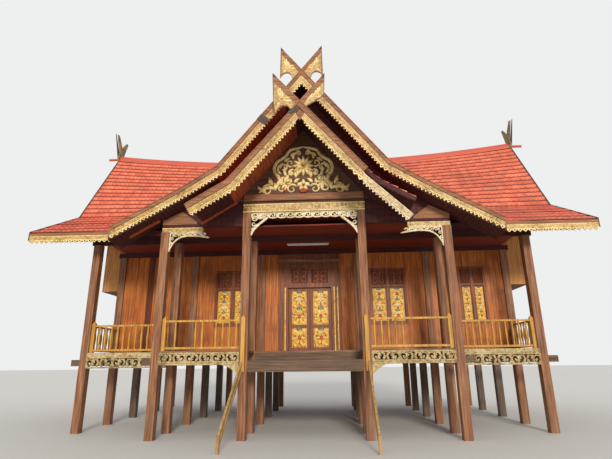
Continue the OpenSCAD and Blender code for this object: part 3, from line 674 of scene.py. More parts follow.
def piece(
    name: str,
    shell: Shell,
    finish: Finish,
    body: str = "house",
    replaces: Sequence[str] = (),
    smooth: bool = False,
) -> bpy.types.Object:
    """Turns a shell into a finished piece of the house.

    Args:
        name: plain name of the piece.
        shell: its points and faces in the house's frame.
        finish: what it is made of and how it is finished.
        body: CAD body that it moves with.
        replaces: CAD nodes that it stands for.
        smooth: shades it as a rounded surface.

    Returns:
        The new object.
    """
    mesh = bpy.data.meshes.new(name)
    sizes = np.concatenate([np.full(len(f), f.shape[1]) for f in shell.faces])
    corners = np.concatenate([f.ravel() for f in shell.faces])
    mesh.vertices.add(len(shell.points))
    mesh.vertices.foreach_set("co", shell.points.astype(np.float32).ravel())
    mesh.loops.add(len(corners))
    mesh.loops.foreach_set("vertex_index", corners.astype(np.int32))
    mesh.polygons.add(len(sizes))
    mesh.polygons.foreach_set("loop_start", np.concatenate([[0], np.cumsum(sizes)[:-1]]).astype(np.int32))
    mesh.polygons.foreach_set("loop_total", sizes.astype(np.int32))
    mesh.polygons.foreach_set("use_smooth", np.full(len(sizes), smooth))
    if shell.tones is not None:
        tone = mesh.attributes.new("tile_tone_and_lip_shade", "FLOAT", "FACE")
        tone.data.foreach_set("value", shell.tones.astype(np.float32))
    mesh.update(calc_edges=True)
    mesh.validate()
    mesh.materials.append(PAINT.get(finish))
    obj = bpy.data.objects.new(name, mesh)
    bpy.context.scene.collection.objects.link(obj)
    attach(obj, body)
    if replaces:
        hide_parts(*replaces)
    log.info("%s: %d faces", name, len(sizes))
    return obj


def dress(finish: Finish, *nodes: str) -> None:
    """Gives CAD nodes their finish.

    Args:
        finish: the finish.
        nodes: names of the nodes.
    """
    for name in nodes:
        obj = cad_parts[name]
        obj.data.materials.clear()
        obj.data.materials.append(PAINT.get(finish))


# Roof


@dataclass(frozen=True)
class EdgeLine:
    """Edge line of a gable or an eave, as corners of x and z from its top outwards.

    A gable's line only flattens on its way out.
    """

    points: tuple[tuple[float, float], ...]

    def stretches(self) -> tuple[Array, Array, Array]:
        """Gives each stretch's first corner, and its fall and its length for each unit of run."""
        p = np.asarray(self.points)
        rake = (p[:-1, 1] - p[1:, 1]) / (p[1:, 0] - p[:-1, 0])
        return p[:-1], rake, np.sqrt(1 + rake**2)

    def z(self, x: Array, w: float | Array = 0.0) -> Array:
        """Height at x of the parallel line w below: the highest of the lines of all stretches."""
        start, rake, run = self.stretches()
        x, w = np.abs(np.asarray(x, float))[..., None], np.asarray(w, float)[..., None]
        return np.max(start[:, 1] - rake * (x - start[:, 0]) - w * run, axis=-1)

    def rake(self, x: Array) -> Array:
        """Fall for each unit of run at x."""
        start, rake, _ = self.stretches()
        return rake[np.clip(np.searchsorted(start[:, 0], np.abs(x), side="right") - 1, 0, len(rake) - 1)]

    def even(self, x0: float, x1: float, count: int) -> Array:
        """Places from x0 to x1 that lie evenly along the line's length."""
        x = np.linspace(x0, x1, 400)
        length = np.concatenate([[0.0], np.cumsum(np.hypot(np.diff(x), np.diff(self.z(x))))])
        return np.interp(np.linspace(0, length[-1], count), length, x)


@dataclass(frozen=True)
class RoofForm:
    """Lines of the roofs, the same as in the part's source."""

    verge_x: float = 7.36
    eave_step: float = 0.234
    eave_z: float = 5.04
    kink_step: float = 2.36
    kink_z: float = 6.16
    ridge_step: float = 4.51
    ridge_end_z: float = 9.28
    ridge_mid_z: float = 8.775
    cap_w: float = 0.13
    upper: EdgeLine = EdgeLine(((0.0, 9.242), (2.2, 6.47), (3.0, 5.957), (4.8, 4.93)))
    lower: EdgeLine = EdgeLine(((0.0, 7.805), (1.74, 5.76), (2.69, 5.19)))
    upper_drop: float = 0.2
    upper_t: float = 0.15
    lower_drop: float = 0.045
    lower_t: float = 0.1
    upper_out: float = 0.55
    lower_out: float = 1.3
    lower_x: float = 2.62
    pediment_step: float = -0.04
    level_to: float = 0.04
    fade_x: tuple[float, float] = (0.35, 2.2)

    def ridge_z(self, x: Array) -> Array:
        """Height of the main ridge: a parabola that sags between the verges."""
        return self.ridge_mid_z + (self.ridge_end_z - self.ridge_mid_z) * (x / self.verge_x) ** 2

    def main_z(self, x: Array, step: Array) -> Array:
        """Height of the front slope: straight from the eave to the kink, then straight to the ridge."""
        low_run, high_run = self.kink_step - self.eave_step, self.ridge_step - self.kink_step
        low = self.eave_z + (step - self.eave_step) * (self.kink_z - self.eave_z) / low_run
        high = self.kink_z + (step - self.kink_step) * (self.ridge_z(x) - self.kink_z) / high_run
        return np.where(step < self.kink_step, low, high)

    def fall(self, x: Array) -> Array:
        """Fall of the upper gable's slope from pediment to main roof, fading out towards the kink."""
        most = self.upper.points[0][1] - self.upper_drop - self.ridge_mid_z - 0.006
        near, far = self.fade_x
        return most * np.clip((far - np.abs(x)) / (far - near), 0, 1)

    def landing(self, x: Array) -> Array:
        """Step at which the upper gable's tiles come down on the main roof."""
        z = self.upper.z(x) - self.upper_drop - self.fall(x)
        low_run, high_run = self.kink_step - self.eave_step, self.ridge_step - self.kink_step
        low = self.eave_step + (z - self.eave_z) * low_run / (self.kink_z - self.eave_z)
        high = self.kink_step + (z - self.kink_z) * high_run / (self.ridge_z(x) - self.kink_z)
        step = np.where(z < self.eave_z, self.eave_step, np.where(z < self.kink_z, low, high))
        return np.minimum(step, self.ridge_step - self.cap_w)

    def upper_z(self, x: Array, step: Array) -> Array:
        """Height of the upper gable's tiles: level to the pediment, then a straight fall to the landing."""
        share = np.clip((step - self.level_to) / (self.landing(x) - self.level_to), 0, 1)
        return self.upper.z(x) - self.upper_drop - self.fall(x) * share


@dataclass
class Tiling:
    """Courses of clay tiles laid over a slope."""

    tile_w: float = 0.15
    lip: float = 0.04
    crown: float = 0.03
    columns: int = 5
    seed: int = 7
    lap: float = 0.2
    tuck: float = 0.02
    side_rise: float = 0.012
    tones: tuple[float, float] = (0.36, 0.62)
    course_tone: float = 0.05

    def sheet(
        self, surface: Callable[[Array, Array], Array], across: tuple[float, float], edges: Array, flip: bool
    ) -> Shell:
        """Covers a slope with tiles.

        Each course is thick at its lower edge and thin where the next one laps it, so its height
        over the slope falls in a straight line from lip to a fifth of it. Across the slope each
        tile is a shallow wave: crown times half of one plus the cosine over the tile's width.

        Args:
            surface: gives x, y, z for a place across the slope and a place up it.
            across: range across the slope.
            edges: places of the course edges up the slope, from the eave.
            flip: turns the faces the other way.

        Returns:
            The tiles, with a random tone for each, and painted shade on the lip that each course shows.
        """
        rng = np.random.default_rng(self.seed)
        tiles = max(2, round(abs(across[1] - across[0]) / self.tile_w))
        u = np.linspace(0, tiles, tiles * self.columns + 1)
        a = across[0] + (across[1] - across[0]) * u / tiles
        courses = len(edges) - 1
        d = np.concatenate([[edges[0]], np.repeat(edges, 2)[1:-1], [edges[-1]]])
        wave = self.crown * 0.5 * (1 + np.cos(2 * np.pi * (u % 1.0 - 0.5)))
        lift = np.tile([1.0, self.lap], courses)
        slack = rng.uniform(-0.005, 0.009, (courses, tiles))
        per_column = slack[:, np.minimum(u.astype(int), tiles - 1)]
        height = np.empty((2 * courses + 2, len(u)))
        height[1:-1] = lift[:, None] * (self.lip + wave[None, :] + np.repeat(per_column, 2, axis=0))
        height[0] = height[-1] = -self.tuck
        height[:, [0, -1]] = np.minimum(height[:, [0, -1]], self.side_rise)
        aa, dd = np.meshgrid(a, d)
        points = surface(aa, dd)
        points[..., 2] += height
        shell = lattice(points, flip=flip)
        tone = rng.uniform(*self.tones, (courses, tiles))
        tone = tone + rng.uniform(-self.course_tone, self.course_tone, (courses, 1))
        rows = np.concatenate([np.repeat(np.arange(courses), 2), [courses - 1]])
        cells = tone[rows]
        # Every other row is a course's lip: its tone is lowered as painted shade
        cells[0:-1:2] = 0.5 * cells[0:-1:2] - 0.2
        shell.tones = cells[:, np.repeat(np.arange(tiles), self.columns)].ravel()
        return shell


@dataclass
class Roofing:
    """Tiles on all slopes, with the boards under their overhangs."""

    form: RoofForm = field(default_factory=RoofForm)
    tiling: Tiling = field(default_factory=Tiling)
    skirt_courses: int = 6
    steep_courses: int = 15
    gable_course: float = 0.235
    soffit_w: float = 0.1

    def build(self) -> None:
        """Makes the tiles and the soffit boards."""
        self.main_slopes()
        self.upper_slopes()
        self.lower_slopes()
        self.soffits()
        dress(Finish.RIDGE, "ridge_caps")
        # The roofs' undersides take the maroon stain with painted shade
        dress(Finish.SOFFIT, "main_roof_front", "main_roof_back")
        dress(Finish.SOFFIT, "upper_roof_left", "upper_roof_right")
        dress(Finish.SOFFIT, "porch_roof_left", "porch_roof_right")

    def main_slopes(self) -> None:
        """Tiles of the front slope, left out under the upper gable, and of the back slope."""
        f = self.form
        skirt = np.linspace(f.eave_step, f.kink_step, self.skirt_courses + 1)[:-1]
        steep = np.linspace(f.kink_step, f.ridge_step - f.cap_w - 0.01, self.steep_courses + 1)
        edges = np.concatenate([skirt, steep])

        def front(a: Array, d: Array) -> Array:
            """Point of the front slope at x and step."""
            return rows_of(a, at(d), f.main_z(a, d))

        def back(a: Array, d: Array) -> Array:
            """Point of the back slope at x and the mirrored step."""
            return rows_of(a, at(2 * f.ridge_step - d), f.main_z(a, d))

        def outside_gable(middle: Array) -> Array:
            """True where the main slope isn't under the upper gable's roof."""
            x, step, z = middle[:, 0], middle[:, 1] + ORIGIN_STEP, middle[:, 2]
            under = (z < f.upper_z(x, step) - 0.11) & (np.abs(x) < f.upper.points[-1][0])
            return ~under & ~((np.abs(x) < 3.72) & (step < 0.62))

        span = (-f.verge_x + 0.005, f.verge_x - 0.005)
        tiles = self.tiling.sheet(front, span, edges, True).kept(outside_gable)
        piece("front_tiles", tiles, Finish.TILE)
        piece("back_tiles", self.tiling.sheet(back, span, edges, False), Finish.TILE)

    def upper_slopes(self) -> None:
        """Tiles of the upper gable's two slopes, from its edge boards back to the main roof."""
        f = self.form
        foot = f.upper.points[-1][0] - 0.01
        edges = f.upper.even(foot, 0.05, round(np.hypot(foot, 4.3) / self.gable_course) + 1)

        def slope(a: Array, d: Array) -> Array:
            """Point of the right-hand slope at a step and a distance from the middle, up to the valley."""
            a = np.minimum(a, f.landing(d))
            return rows_of(d, at(a), f.upper_z(d, a))

        def before_main(middle: Array) -> Array:
            """True in front of the valley."""
            return middle[:, 1] + ORIGIN_STEP < f.landing(middle[:, 0]) - 0.002

        sheet = self.tiling.sheet(slope, (-f.upper_out, f.ridge_step), edges, True).kept(before_main)
        piece("upper_gable_tiles_right", sheet, Finish.TILE)
        piece("upper_gable_tiles_left", sheet.mirrored(), Finish.TILE)

    def lower_slopes(self) -> None:
        """Tiles of the lower gable's two slopes."""
        f = self.form
        foot = f.lower_x - 0.005
        edges = f.lower.even(foot, 0.05, round(np.hypot(foot, 2.6) / self.gable_course) + 1)

        def slope(a: Array, d: Array) -> Array:
            """Point of the right-hand slope at a step and a distance from the middle."""
            return rows_of(d, at(a), f.lower.z(d) - f.lower_drop)

        sheet = self.tiling.sheet(slope, (-f.lower_out, f.pediment_step - 0.01), edges, True)
        piece("porch_gable_tiles_right", sheet, Finish.TILE)
        piece("porch_gable_tiles_left", sheet.mirrored(), Finish.TILE)

    def soffit(
        self, edge: EdgeLine, drop: float, x: Array, width: float, steps: tuple[float, float]
    ) -> Shell:
        """Boards that run from front to back along the underside of an overhang, on its right-hand side.

        Args:
            edge: the gable's edge line.
            drop: height of the edge line over the roof's underside.
            x: middles of the boards.
            width: spacing of the boards along x.
            steps: the boards' two ends.

        Returns:
            The boards as closed solids.
        """
        z = edge.z(x) - drop - 0.012
        rake = edge.rake(x)
        starts, ends = (rows_of(x, at(s), z) for s in steps)
        normal = rows_of(rake, 0.0, 1.0)
        return planks(starts, ends, width * np.sqrt(1 + rake**2) - 0.006, 0.02, normal)

    def soffits(self) -> None:
        """Boards under the gables' overhangs: painted sunlight at the left, painted shade at the right."""
        f = self.form
        low_drop, high_drop = f.lower_drop + f.lower_t, f.upper_drop + f.upper_t
        board = self.soffit_w
        low_x, high_x = np.arange(0.2, 2.5, board), np.arange(0.5, 4.7, board)
        low = self.soffit(f.lower, low_drop, low_x, board, (0.01 - f.lower_out, -0.11))
        high = self.soffit(f.upper, high_drop, high_x, board, (0.01 - f.upper_out, -0.045))
        whole = joined([low.mirrored(), high.mirrored()])

        def near_apex(middle: Array) -> Array:
            """True on the boards with painted sunlight, close to the two apexes."""
            porch = middle[:, 1] < at(-f.upper_out - 0.06)
            under_porch = middle[:, 2] < f.lower.z(middle[:, 0]) - 0.1
            return np.abs(middle[:, 0]) < np.where(porch | under_porch, 1.75, 2.1)

        lit = whole.kept(near_apex)
        dark = whole.kept(lambda middle: ~near_apex(middle))
        piece("soffit_boards_left_sunlit", lit, Finish.SOFFIT_LIT)
        piece("soffit_boards_left_shaded", dark, Finish.SOFFIT)
        piece("soffit_boards_right_shaded", joined([low, high]), Finish.SOFFIT)
        # Strips along the slopes in the red stain with painted sunlight
        strips = []
        for edge, drop, x0, x1 in ((f.lower, low_drop, 1.7, 2.6), (f.upper, high_drop, 3.68, 4.42)):
            ends = ([-x, at(-0.2), float(edge.z(x)) - drop - 0.05] for x in (x0, x1))
            strips.append(planks(*ends, 0.07, 0.05, TO_FRONT))
        piece("sunlit_soffit_strips", joined(strips), Finish.SOFFIT_LIT)


# Carving


def spiral(cx: float, cz: float, r0: float, r1: float, a0: float, a1: float) -> Array:
    """Path of a scroll: the radius runs evenly from r0 to r1 while the angle runs from a0 to a1."""
    r, a = r0 + (r1 - r0) * ALONG, np.radians(a0 + (a1 - a0) * ALONG)
    return np.stack([cx + r * np.cos(a), cz + r * np.sin(a)], axis=-1)


def leaf(x: float, z: float, angle: float, length: float, bend: float = 0.0) -> Array:
    """Path of a leaf or petal from its foot: a line that turns by the bend over its length."""
    a = np.radians(angle + bend * ALONG)
    turn = np.stack([np.cos(a), np.sin(a)], axis=-1)
    return np.array([x, z]) + (np.cumsum(turn, axis=0) - turn[0]) * length / (STATIONS - 1)


def straight(x0: float, z0: float, x1: float, z1: float) -> Array:
    """Path of a straight strand between two points."""
    return np.linspace((x0, z0), (x1, z1), STATIONS)


@dataclass
class Motif:
    """Strands of a carved pattern, drawn in a plane of x and z."""

    paths: list[Array] = field(default_factory=list)
    halves: list[Array] = field(default_factory=list)

    def scroll(self, path: Array, wide: float, narrow: float = 0.4) -> Motif:
        """Adds a strand that narrows evenly along its path and ends round."""
        t = np.linspace(0, 1, len(path))
        half = wide * (1 + (narrow - 1) * t) * np.clip(np.minimum(t * 12 + 0.35, (1 - t) * 12 + 0.35), 0, 1)
        self.paths.append(path)
        self.halves.append(half)
        return self

    def petal(self, path: Array, wide: float) -> Motif:
        """Adds a leaf or petal: its width is a sine over its length, fuller towards its foot."""
        t = np.linspace(0, 1, len(path))
        self.paths.append(path)
        self.halves.append(wide * np.maximum(np.sin(np.pi * t**0.8), 0.06))
        return self

    def blossom(
        self, x: float, z: float, radius: float, petals: int, wide: float, turn: float = 90.0
    ) -> Motif:
        """Adds a ring of straight petals round a middle."""
        for k in range(petals):
            a = turn + 360.0 * k / petals
            foot = radius * 0.16
            start = (x + foot * math.cos(math.radians(a)), z + foot * math.sin(math.radians(a)))
            self.petal(leaf(*start, a, radius - foot), wide)
        return self

    def mirror(self, x: float = 0.0) -> Motif:
        """Adds the image of every strand so far across an upright line."""
        for path, half in list(zip(self.paths, self.halves)):
            self.paths.append(path * np.array([-1.0, 1.0]) + np.array([2 * x, 0.0]))
            self.halves.append(half)
        return self

    def take(self, other: Motif) -> Motif:
        """Adds all strands of another motif."""
        self.paths += other.paths
        self.halves += other.halves
        return self

    def carve(self, place: Callable[[Array, Array], Array], rise: float, back: float = 0.0) -> Shell:
        """Turns the motif into carving.

        Args:
            place: gives x, y, z for the motif's x and z.
            rise: height of the carving.
            back: its depth behind the ground.

        Returns:
            The strands as closed solids.
        """
        paths = np.stack(self.paths)
        return strands(place(paths[..., 0], paths[..., 1]), np.stack(self.halves), rise, TO_FRONT, back)


def repeat(motif: Motif, pitch: float, count: int, start: float) -> Motif:
    """The same motif in a row along x."""
    out = Motif()
    for k in range(count):
        shift = np.array([start + k * pitch, 0.0])
        out.take(Motif([p + shift for p in motif.paths], motif.halves))
    return out


def vine_unit(pitch: float, height: float) -> Motif:
    """One length of a running vine: a wave with a scroll in each hollow, leaves and a bud."""
    h = height / 2
    stem = np.stack([ALONG * pitch, h + 0.22 * height * np.sin(2 * np.pi * ALONG)], axis=-1)
    wide = 0.055 * height
    motif = Motif().scroll(stem, wide, 1.0)
    motif.scroll(spiral(0.28 * pitch, h - 0.12 * height, 0.34 * height, 0.06 * height, 150, -250), wide)
    motif.scroll(spiral(0.78 * pitch, h + 0.12 * height, 0.34 * height, 0.06 * height, 210, 610), wide)
    motif.petal(leaf(0.5 * pitch, h, 60, 0.4 * height, -60), 0.09 * height)
    motif.petal(leaf(0.02 * pitch, h, -60, 0.4 * height, 60), 0.09 * height)
    motif.petal(leaf(0.55 * pitch, 0.2 * height, -100, 0.26 * height, 50), 0.07 * height)
    motif.petal(leaf(0.05 * pitch, 0.8 * height, 100, 0.26 * height, -50), 0.07 * height)
    return motif


@dataclass
class CarvedEdge:
    """Carved board under a sloping or level line, with a row of pierced teeth along its foot.

    A place on it is a length s along the edge line and a distance w square to the line, so that the
    carving turns with the board at each kink.
    """

    edge: EdgeLine
    w: tuple[float, float]
    front: float
    x0: float = 0.0
    lean: float = 1.0
    thick: float = 0.03
    tooth: float = 0.098
    tooth_h: float = 0.07
    vine: float = 0.31
    stations: int = 60
    border: float = 0.016

    def marks(self) -> tuple[Array, Array]:
        """Gives the lengths at the line's corners, from x0 on, and their x."""
        start, _, run = self.edge.stretches()
        x = np.clip(np.append(start[:, 0], self.edge.points[-1][0]), self.x0, None)
        return np.concatenate([[0.0], np.cumsum(np.diff(x) * run)]), x

    def length(self) -> float:
        """Length of the board along its edge line."""
        return float(self.marks()[0][-1])

    def point(self, s: Array, w: Array, y: float | Array) -> Array:
        """Place on the board: a distance w square to the line is w times the sine of its slope back along x.

        The sine changes evenly within 120 mm of a corner, and over the last 250 mm towards the lean
        of the board's end.
        """
        _, rake, run = self.edge.stretches()
        lengths, corners = self.marks()
        sines = rake / run
        bends = np.stack([lengths[1:-1] - 0.12, lengths[1:-1] + 0.12], axis=-1).ravel()
        knots = np.concatenate([[0.0], bends, lengths[-1:] - 0.25, lengths[-1:]])
        leans = np.append(np.repeat(sines, 2), self.lean * sines[-1])
        x = np.maximum(self.x0, np.interp(s, lengths, corners) - w * np.interp(s, knots, leans))
        return rows_of(x, y, self.edge.z(x, w))

    def first(self, w: float) -> float:
        """Length at which the line w below meets the upright through x0."""
        return w * float(self.edge.stretches()[1][0])

    def band(self, w0: float, w1: float, front: float, back: float) -> Shell:
        """Plain board of one width: a rectangle carried along the line.

        Args:
            w0: distance of its upper side below the line.
            w1: distance of its lower side.
            front: its face.
            back: its back.

        Returns:
            The board as a closed solid.
        """
        t = np.linspace(0, 1, self.stations)
        rows = []
        for w, y in ((w0, front), (w1, front), (w1, back), (w0, back)):
            s = self.first(w) + t * (self.length() - self.first(w))
            rows.append(self.point(s, np.full_like(s, w), y))
        return bar(rows)

    def ground(self) -> Shell:
        """The plain board over the teeth."""
        return self.band(self.w[0], self.w[1] - self.tooth_h + 0.012, self.front, self.front + self.thick)

    def teeth(self) -> Shell:
        """The pierced teeth: each a ring whose outside is drawn to a point at its foot.

        The outside has the radius 0.5 tooth, narrowed where the angle points down and reaching to the
        board's foot there, and the hole in it is a circle of a sixth of the tooth.
        """
        begin = self.first(self.w[1] - self.tooth_h)
        length = self.length() - begin
        count = max(1, round(length / self.tooth))
        pitch = length / count
        s = begin + (np.arange(count) + 0.5) * pitch
        n = 12
        a = np.linspace(0, 2 * np.pi, n, endpoint=False) + np.pi / 2
        down = np.clip(-np.sin(a), 0, 1)
        ou = 0.47 * pitch * np.cos(a) * (1 - 0.6 * down)
        reach = self.tooth_h * 0.75
        ov = np.where(np.sin(a) > 0, 0.3 * pitch * np.sin(a), -reach * down**1.8)
        iu, iv = 0.17 * pitch * np.cos(a), 0.17 * pitch * np.sin(a)
        y0, y1 = self.front, self.front + self.thick
        u, v = np.stack([ou, iu, iu, ou], axis=-1), np.stack([ov, iv, iv, ov], axis=-1)
        y = np.broadcast_to(np.array([y0, y0 - 0.003, y1, y1]), u.shape)
        middle = self.w[1] - reach
        points = self.point(s[:, None, None] + u, middle - v, y[None] + np.zeros((count, 1, 1)))
        faces = lattice(points[0], wrap_u=True, wrap_v=True, flip=True).faces[0]
        start = (np.arange(count) * n * 4)[:, None, None]
        return Shell(points.reshape(-1, 3), [(faces[None] + start).reshape(-1, 4)])

    def relief(self) -> Shell:
        """Two border strands and a running vine between them."""
        w0, w1 = self.w[0], self.w[1] - self.tooth_h
        height = w1 - w0 - 2 * self.border
        begin = self.first(w1)
        length = self.length() - begin
        count = max(1, round(length / self.vine))
        motif = repeat(vine_unit(length / count, height), length / count, count, 0.0)
        s = np.linspace(0, 1, STATIONS * 4)
        edges = []
        for w in (w0 + 0.012, w1 - 0.004):
            run = self.first(w) + s * (self.length() - self.first(w))
            edges.append(self.point(run, np.full_like(run, w), self.front))
        frame_strands = strands(np.stack(edges), np.full((2, len(s)), 0.011), 0.012, TO_FRONT)

        def place(u: Array, v: Array) -> Array:
            """Point on the board's face, with the motif's z measured up from the teeth."""
            return self.point(begin + u, w1 - self.border - v, self.front)

        return joined([motif.carve(place, 0.014), frame_strands])

    def gold(self) -> Shell:
        """All the board's gold carving."""
        return joined([self.teeth(), self.relief()])


@dataclass(frozen=True)
class Horn:
    """Pointed end of a gable board past the crossing: a gold panel in a brown frame, with a dark tip.

    Its upper edge is the board's own line carried on past the crossing, and its foot a line of corners.
    """

    edge: EdgeLine
    strip: float
    tip: float
    foot: tuple[tuple[float, float], ...]
    front: float
    margin: float = 0.024
    # Angle, length for a tip 0.6 m out, and bend of each leaf
    leaves: tuple[tuple[float, float, float], ...] = (
        (82, 0.36, 6), (66, 0.24, 24), (104, 0.16, -30), (150, 0.15, 40), (196, 0.2, -30), (-60, 0.12, 40),
    )

    def rake(self) -> float:
        """Rise of the upper edge for each unit of run."""
        return float(self.edge.rake(0.0))

    def upper(self, x: Array) -> Array:
        """Height of the upper edge at x."""
        return self.edge.points[0][1] + self.rake() * np.asarray(x)

    def limits(self, x: Array) -> tuple[Array, Array]:
        """Heights of the panel's edges: a strip below the line, and clear of foot and crossing."""
        corners = np.asarray(self.foot)
        top = self.upper(x) - self.strip * math.sqrt(1 + self.rake() ** 2)
        clear = np.interp(x, corners[:, 0], corners[:, 1]) + self.margin
        crossing = self.edge.points[0][1] - self.rake() * x
        return top, np.minimum(np.maximum(clear, crossing), top - 0.004)

    def panel(self) -> Shell:
        """Gold board inside the frame."""
        start = self.strip * math.sqrt(1 + self.rake() ** 2) / (2 * self.rake())
        x = np.linspace(start + 0.01, self.tip - self.margin, 40)
        return slab(x, *self.limits(x), self.front - 0.006, self.front + 0.006)

    def point(self) -> Shell:
        """Dark cap on the tip, down to a level line."""
        x = np.linspace(self.tip - 0.085, self.tip + 0.001, 6)
        foot = np.minimum(np.full_like(x, self.upper(x[0])), self.upper(x) - 0.003)
        return slab(x, self.upper(x) + 0.001, foot, self.front - 0.009, self.front + 0.031)

    def carving(self) -> Shell:
        """Leaves that fan out from a scroll towards the tip and the crossing."""
        c = 0.68 * self.tip
        top, foot = (float(limit[0]) for limit in self.limits(np.array([c])))
        z = foot + 0.36 * (top - foot)
        motif = Motif().scroll(spiral(c, z, 0.075, 0.012, 200, -220), 0.016)
        size = self.tip / 0.6
        for angle, length, bend in self.leaves:
            a = math.radians(angle)
            foot = (c + 0.07 * math.cos(a), z + 0.07 * math.sin(a))
            motif.petal(leaf(*foot, angle, length * size, bend), 0.022)

        def place(u: Array, v: Array) -> Array:
            """Point on the panel, kept inside its edges."""
            u = np.clip(u, 0.16, self.tip - self.margin)
            high, low = self.limits(u)
            return rows_of(u, self.front - 0.006, np.clip(v, np.minimum(low, high), high))

        return motif.carve(place, 0.014)


def on_gables(upper: Shell, left: Shell, right: Shell) -> Shell:
    """The upper gable's part on both sides, with the lower gable's left and right ones."""
    return joined([both(upper), left.mirrored(), right])


@dataclass
class Gables:
    """Edge boards, pediments and their carving on the two stepped gables."""

    form: RoofForm = field(default_factory=RoofForm)
    board_t: float = 0.03
    upper_w: tuple[float, float] = (0.125, 0.315)
    lower_w: tuple[float, float] = (0.152, 0.36)
    eave_w: tuple[float, float] = (0.09, 0.285)
    eave_tooth: float = 0.13
    back_inset: float = 0.018
    fin_foot_z: float = 9.1
    fin_h: float = 0.99
    ornament_z: float = 5.83
    # Corners of the ornament's outline, from its left foot to its top
    mound: tuple[tuple[float, float], ...] = (
        (-1.15, 0.06), (-0.95, 0.2), (-0.72, 0.16), (-0.6, 0.42), (-0.78, 0.66), (-0.72, 0.9),
        (-0.48, 1.04), (-0.36, 1.24), (0.0, 1.33),
    )
    pediment_board_w: float = 0.16

    def build(self) -> None:
        """Makes the carved boards, the pediment ornament and the boarded pediments."""
        f = self.form
        upper_front, lower_front = at(-f.upper_out - self.board_t), at(-f.lower_out - self.board_t)
        self.upper_boards(upper_front)
        self.lower_boards(lower_front)
        self.eaves()
        self.mouldings(upper_front, lower_front)
        self.horns(upper_front, lower_front)
        self.repairs(upper_front, lower_front)
        self.ornament()
        self.pediment_boards()
        self.fins()
        dress(Finish.GABLE, "upper_gable_boards", "porch_gable_boards")
        dress(Finish.VERGE, "verge_boards_front", "verge_boards_back")
        # The upper pediment's face takes the maroon stain with painted shade
        dress(Finish.SOFFIT, "upper_pediment")
        dress(Finish.PEDIMENT, "porch_pediment")

    def carved(self, name: str, ground: Shell, gold: Shell, *nodes: str) -> None:
        """Makes a carved board of two pieces, its ochre ground and its gold, in place of CAD nodes."""
        piece(name + "_ground", ground, Finish.GOLD_GROUND, replaces=nodes)
        piece(name + "_carving", gold, Finish.GOLD)

    def upper_board(self, front: float) -> CarvedEdge:
        """The upper gable's carved board on its right-hand side."""
        return CarvedEdge(self.form.upper, self.upper_w, front, lean=0.3)

    def upper_boards(self, front: float) -> None:
        """Carved boards of the upper gable, alike on both sides."""
        board = self.upper_board(front)
        self.carved("upper_carved_board", both(board.ground()), both(board.gold()), "upper_carved_boards")

    def lower_boards(self, front: float) -> None:
        """Carved boards of the lower gable: whole at the left, in two pieces at the right."""
        f = self.form
        behind, beside = front + 0.004, 0.1
        broken = EdgeLine((f.lower.points[0], (1.545, float(f.lower.z(1.545)))))
        left_ground = CarvedEdge(f.lower, self.lower_w, behind).ground()
        steep_ground = CarvedEdge(broken, self.lower_w, behind, lean=0.5).ground()
        left = CarvedEdge(f.lower, self.lower_w, front, x0=beside)
        steep = CarvedEdge(broken, self.lower_w, front, x0=beside, lean=0.5)
        hanging = EdgeLine(((1.44, 5.844), (2.519, 4.793)))
        loose = CarvedEdge(hanging, (0.0, self.lower_w[1] - self.lower_w[0] + 0.015), front, x0=1.44)
        ground = joined([left_ground.mirrored(), steep_ground, loose.ground()])
        gold = joined([left.gold().mirrored(), steep.gold()])
        self.carved("porch_carved_board", ground, gold, "porch_carved_boards")
        piece("loose_board_carving", loose.gold(), Finish.CREAM)

    def eaves(self) -> None:
        """Toothed boards under the eaves: two beside the gable and one along the back."""
        f = self.form
        x0 = f.upper.points[-1][0] + 0.03
        level = EdgeLine(((x0, f.eave_z), (f.verge_x, f.eave_z)))
        front_y = at(f.eave_step) - self.board_t
        board = CarvedEdge(level, self.eave_w, front_y, x0=x0, tooth=self.eave_tooth, vine=0.5)
        self.carved("eave_board", both(board.ground()), both(board.gold()), "eave_boards")
        back_y = at(2 * f.ridge_step - f.eave_step) + self.board_t - self.back_inset
        level = EdgeLine(((-f.verge_x, f.eave_z), (f.verge_x, f.eave_z)))
        back = CarvedEdge(level, self.eave_w, 0.0, -f.verge_x, tooth=self.eave_tooth, vine=0.7, stations=2)
        turn = np.array([-1.0, -1.0, 1.0])
        turned_parts = (
            Shell(part.points * turn + back_y * TO_BACK, part.faces) for part in (back.ground(), back.gold())
        )
        self.carved("eave_board_back", *turned_parts)
        rows = (
            (x0, f.verge_x, front_y + 0.018),
            (-f.verge_x, -x0, front_y + 0.018),
            (-f.verge_x, f.verge_x, back_y - 0.018),
        )
        starts, ends = (np.array([[row[k], row[2], f.eave_z - 0.05] for row in rows]) for k in (0, 1))
        strips = planks(starts, ends, 0.1, 0.036, TO_BACK)
        piece("eave_strips", strips, Finish.GABLE)

    def mouldings(self, upper_front: float, lower_front: float) -> None:
        """Thin raised strips along both edges of the brown boards."""
        f = self.form
        t = np.linspace(0, 1, 72)

        def rows(board: CarvedEdge, low: float) -> list[Array]:
            """Paths of the two strips of one board, from the crossing outwards."""
            paths = []
            for w in (0.016, low - 0.016):
                s = board.first(w) + t * (board.length() - board.first(w))
                paths.append(board.point(s, np.full_like(s, w), board.front))
            return paths

        upper = rows(self.upper_board(upper_front), self.upper_w[0])
        left = rows(CarvedEdge(f.lower, self.lower_w, lower_front), self.lower_w[0])
        broken = EdgeLine((f.lower.points[0], (1.571, float(f.lower.z(1.571)))))
        right = rows(CarvedEdge(broken, self.lower_w, lower_front), self.lower_w[0])
        half = np.full((2, len(t)), 0.014)
        strips = (strands(np.stack(paths), half, 0.014, TO_FRONT) for paths in (upper, left, right))
        # Dark lines of painted shadow just under the lower strips, where brown board meets gold
        below = (paths[1][None] - 0.03 * UP for paths in (upper, left, right))
        lines = (strands(path, half[:1] * 0.7, 0.012, TO_FRONT) for path in below)
        piece("cap_board_joint_shadows", on_gables(*lines), Finish.JOINT_SHADOW)
        piece("cap_board_mouldings", on_gables(*strips), Finish.GABLE)

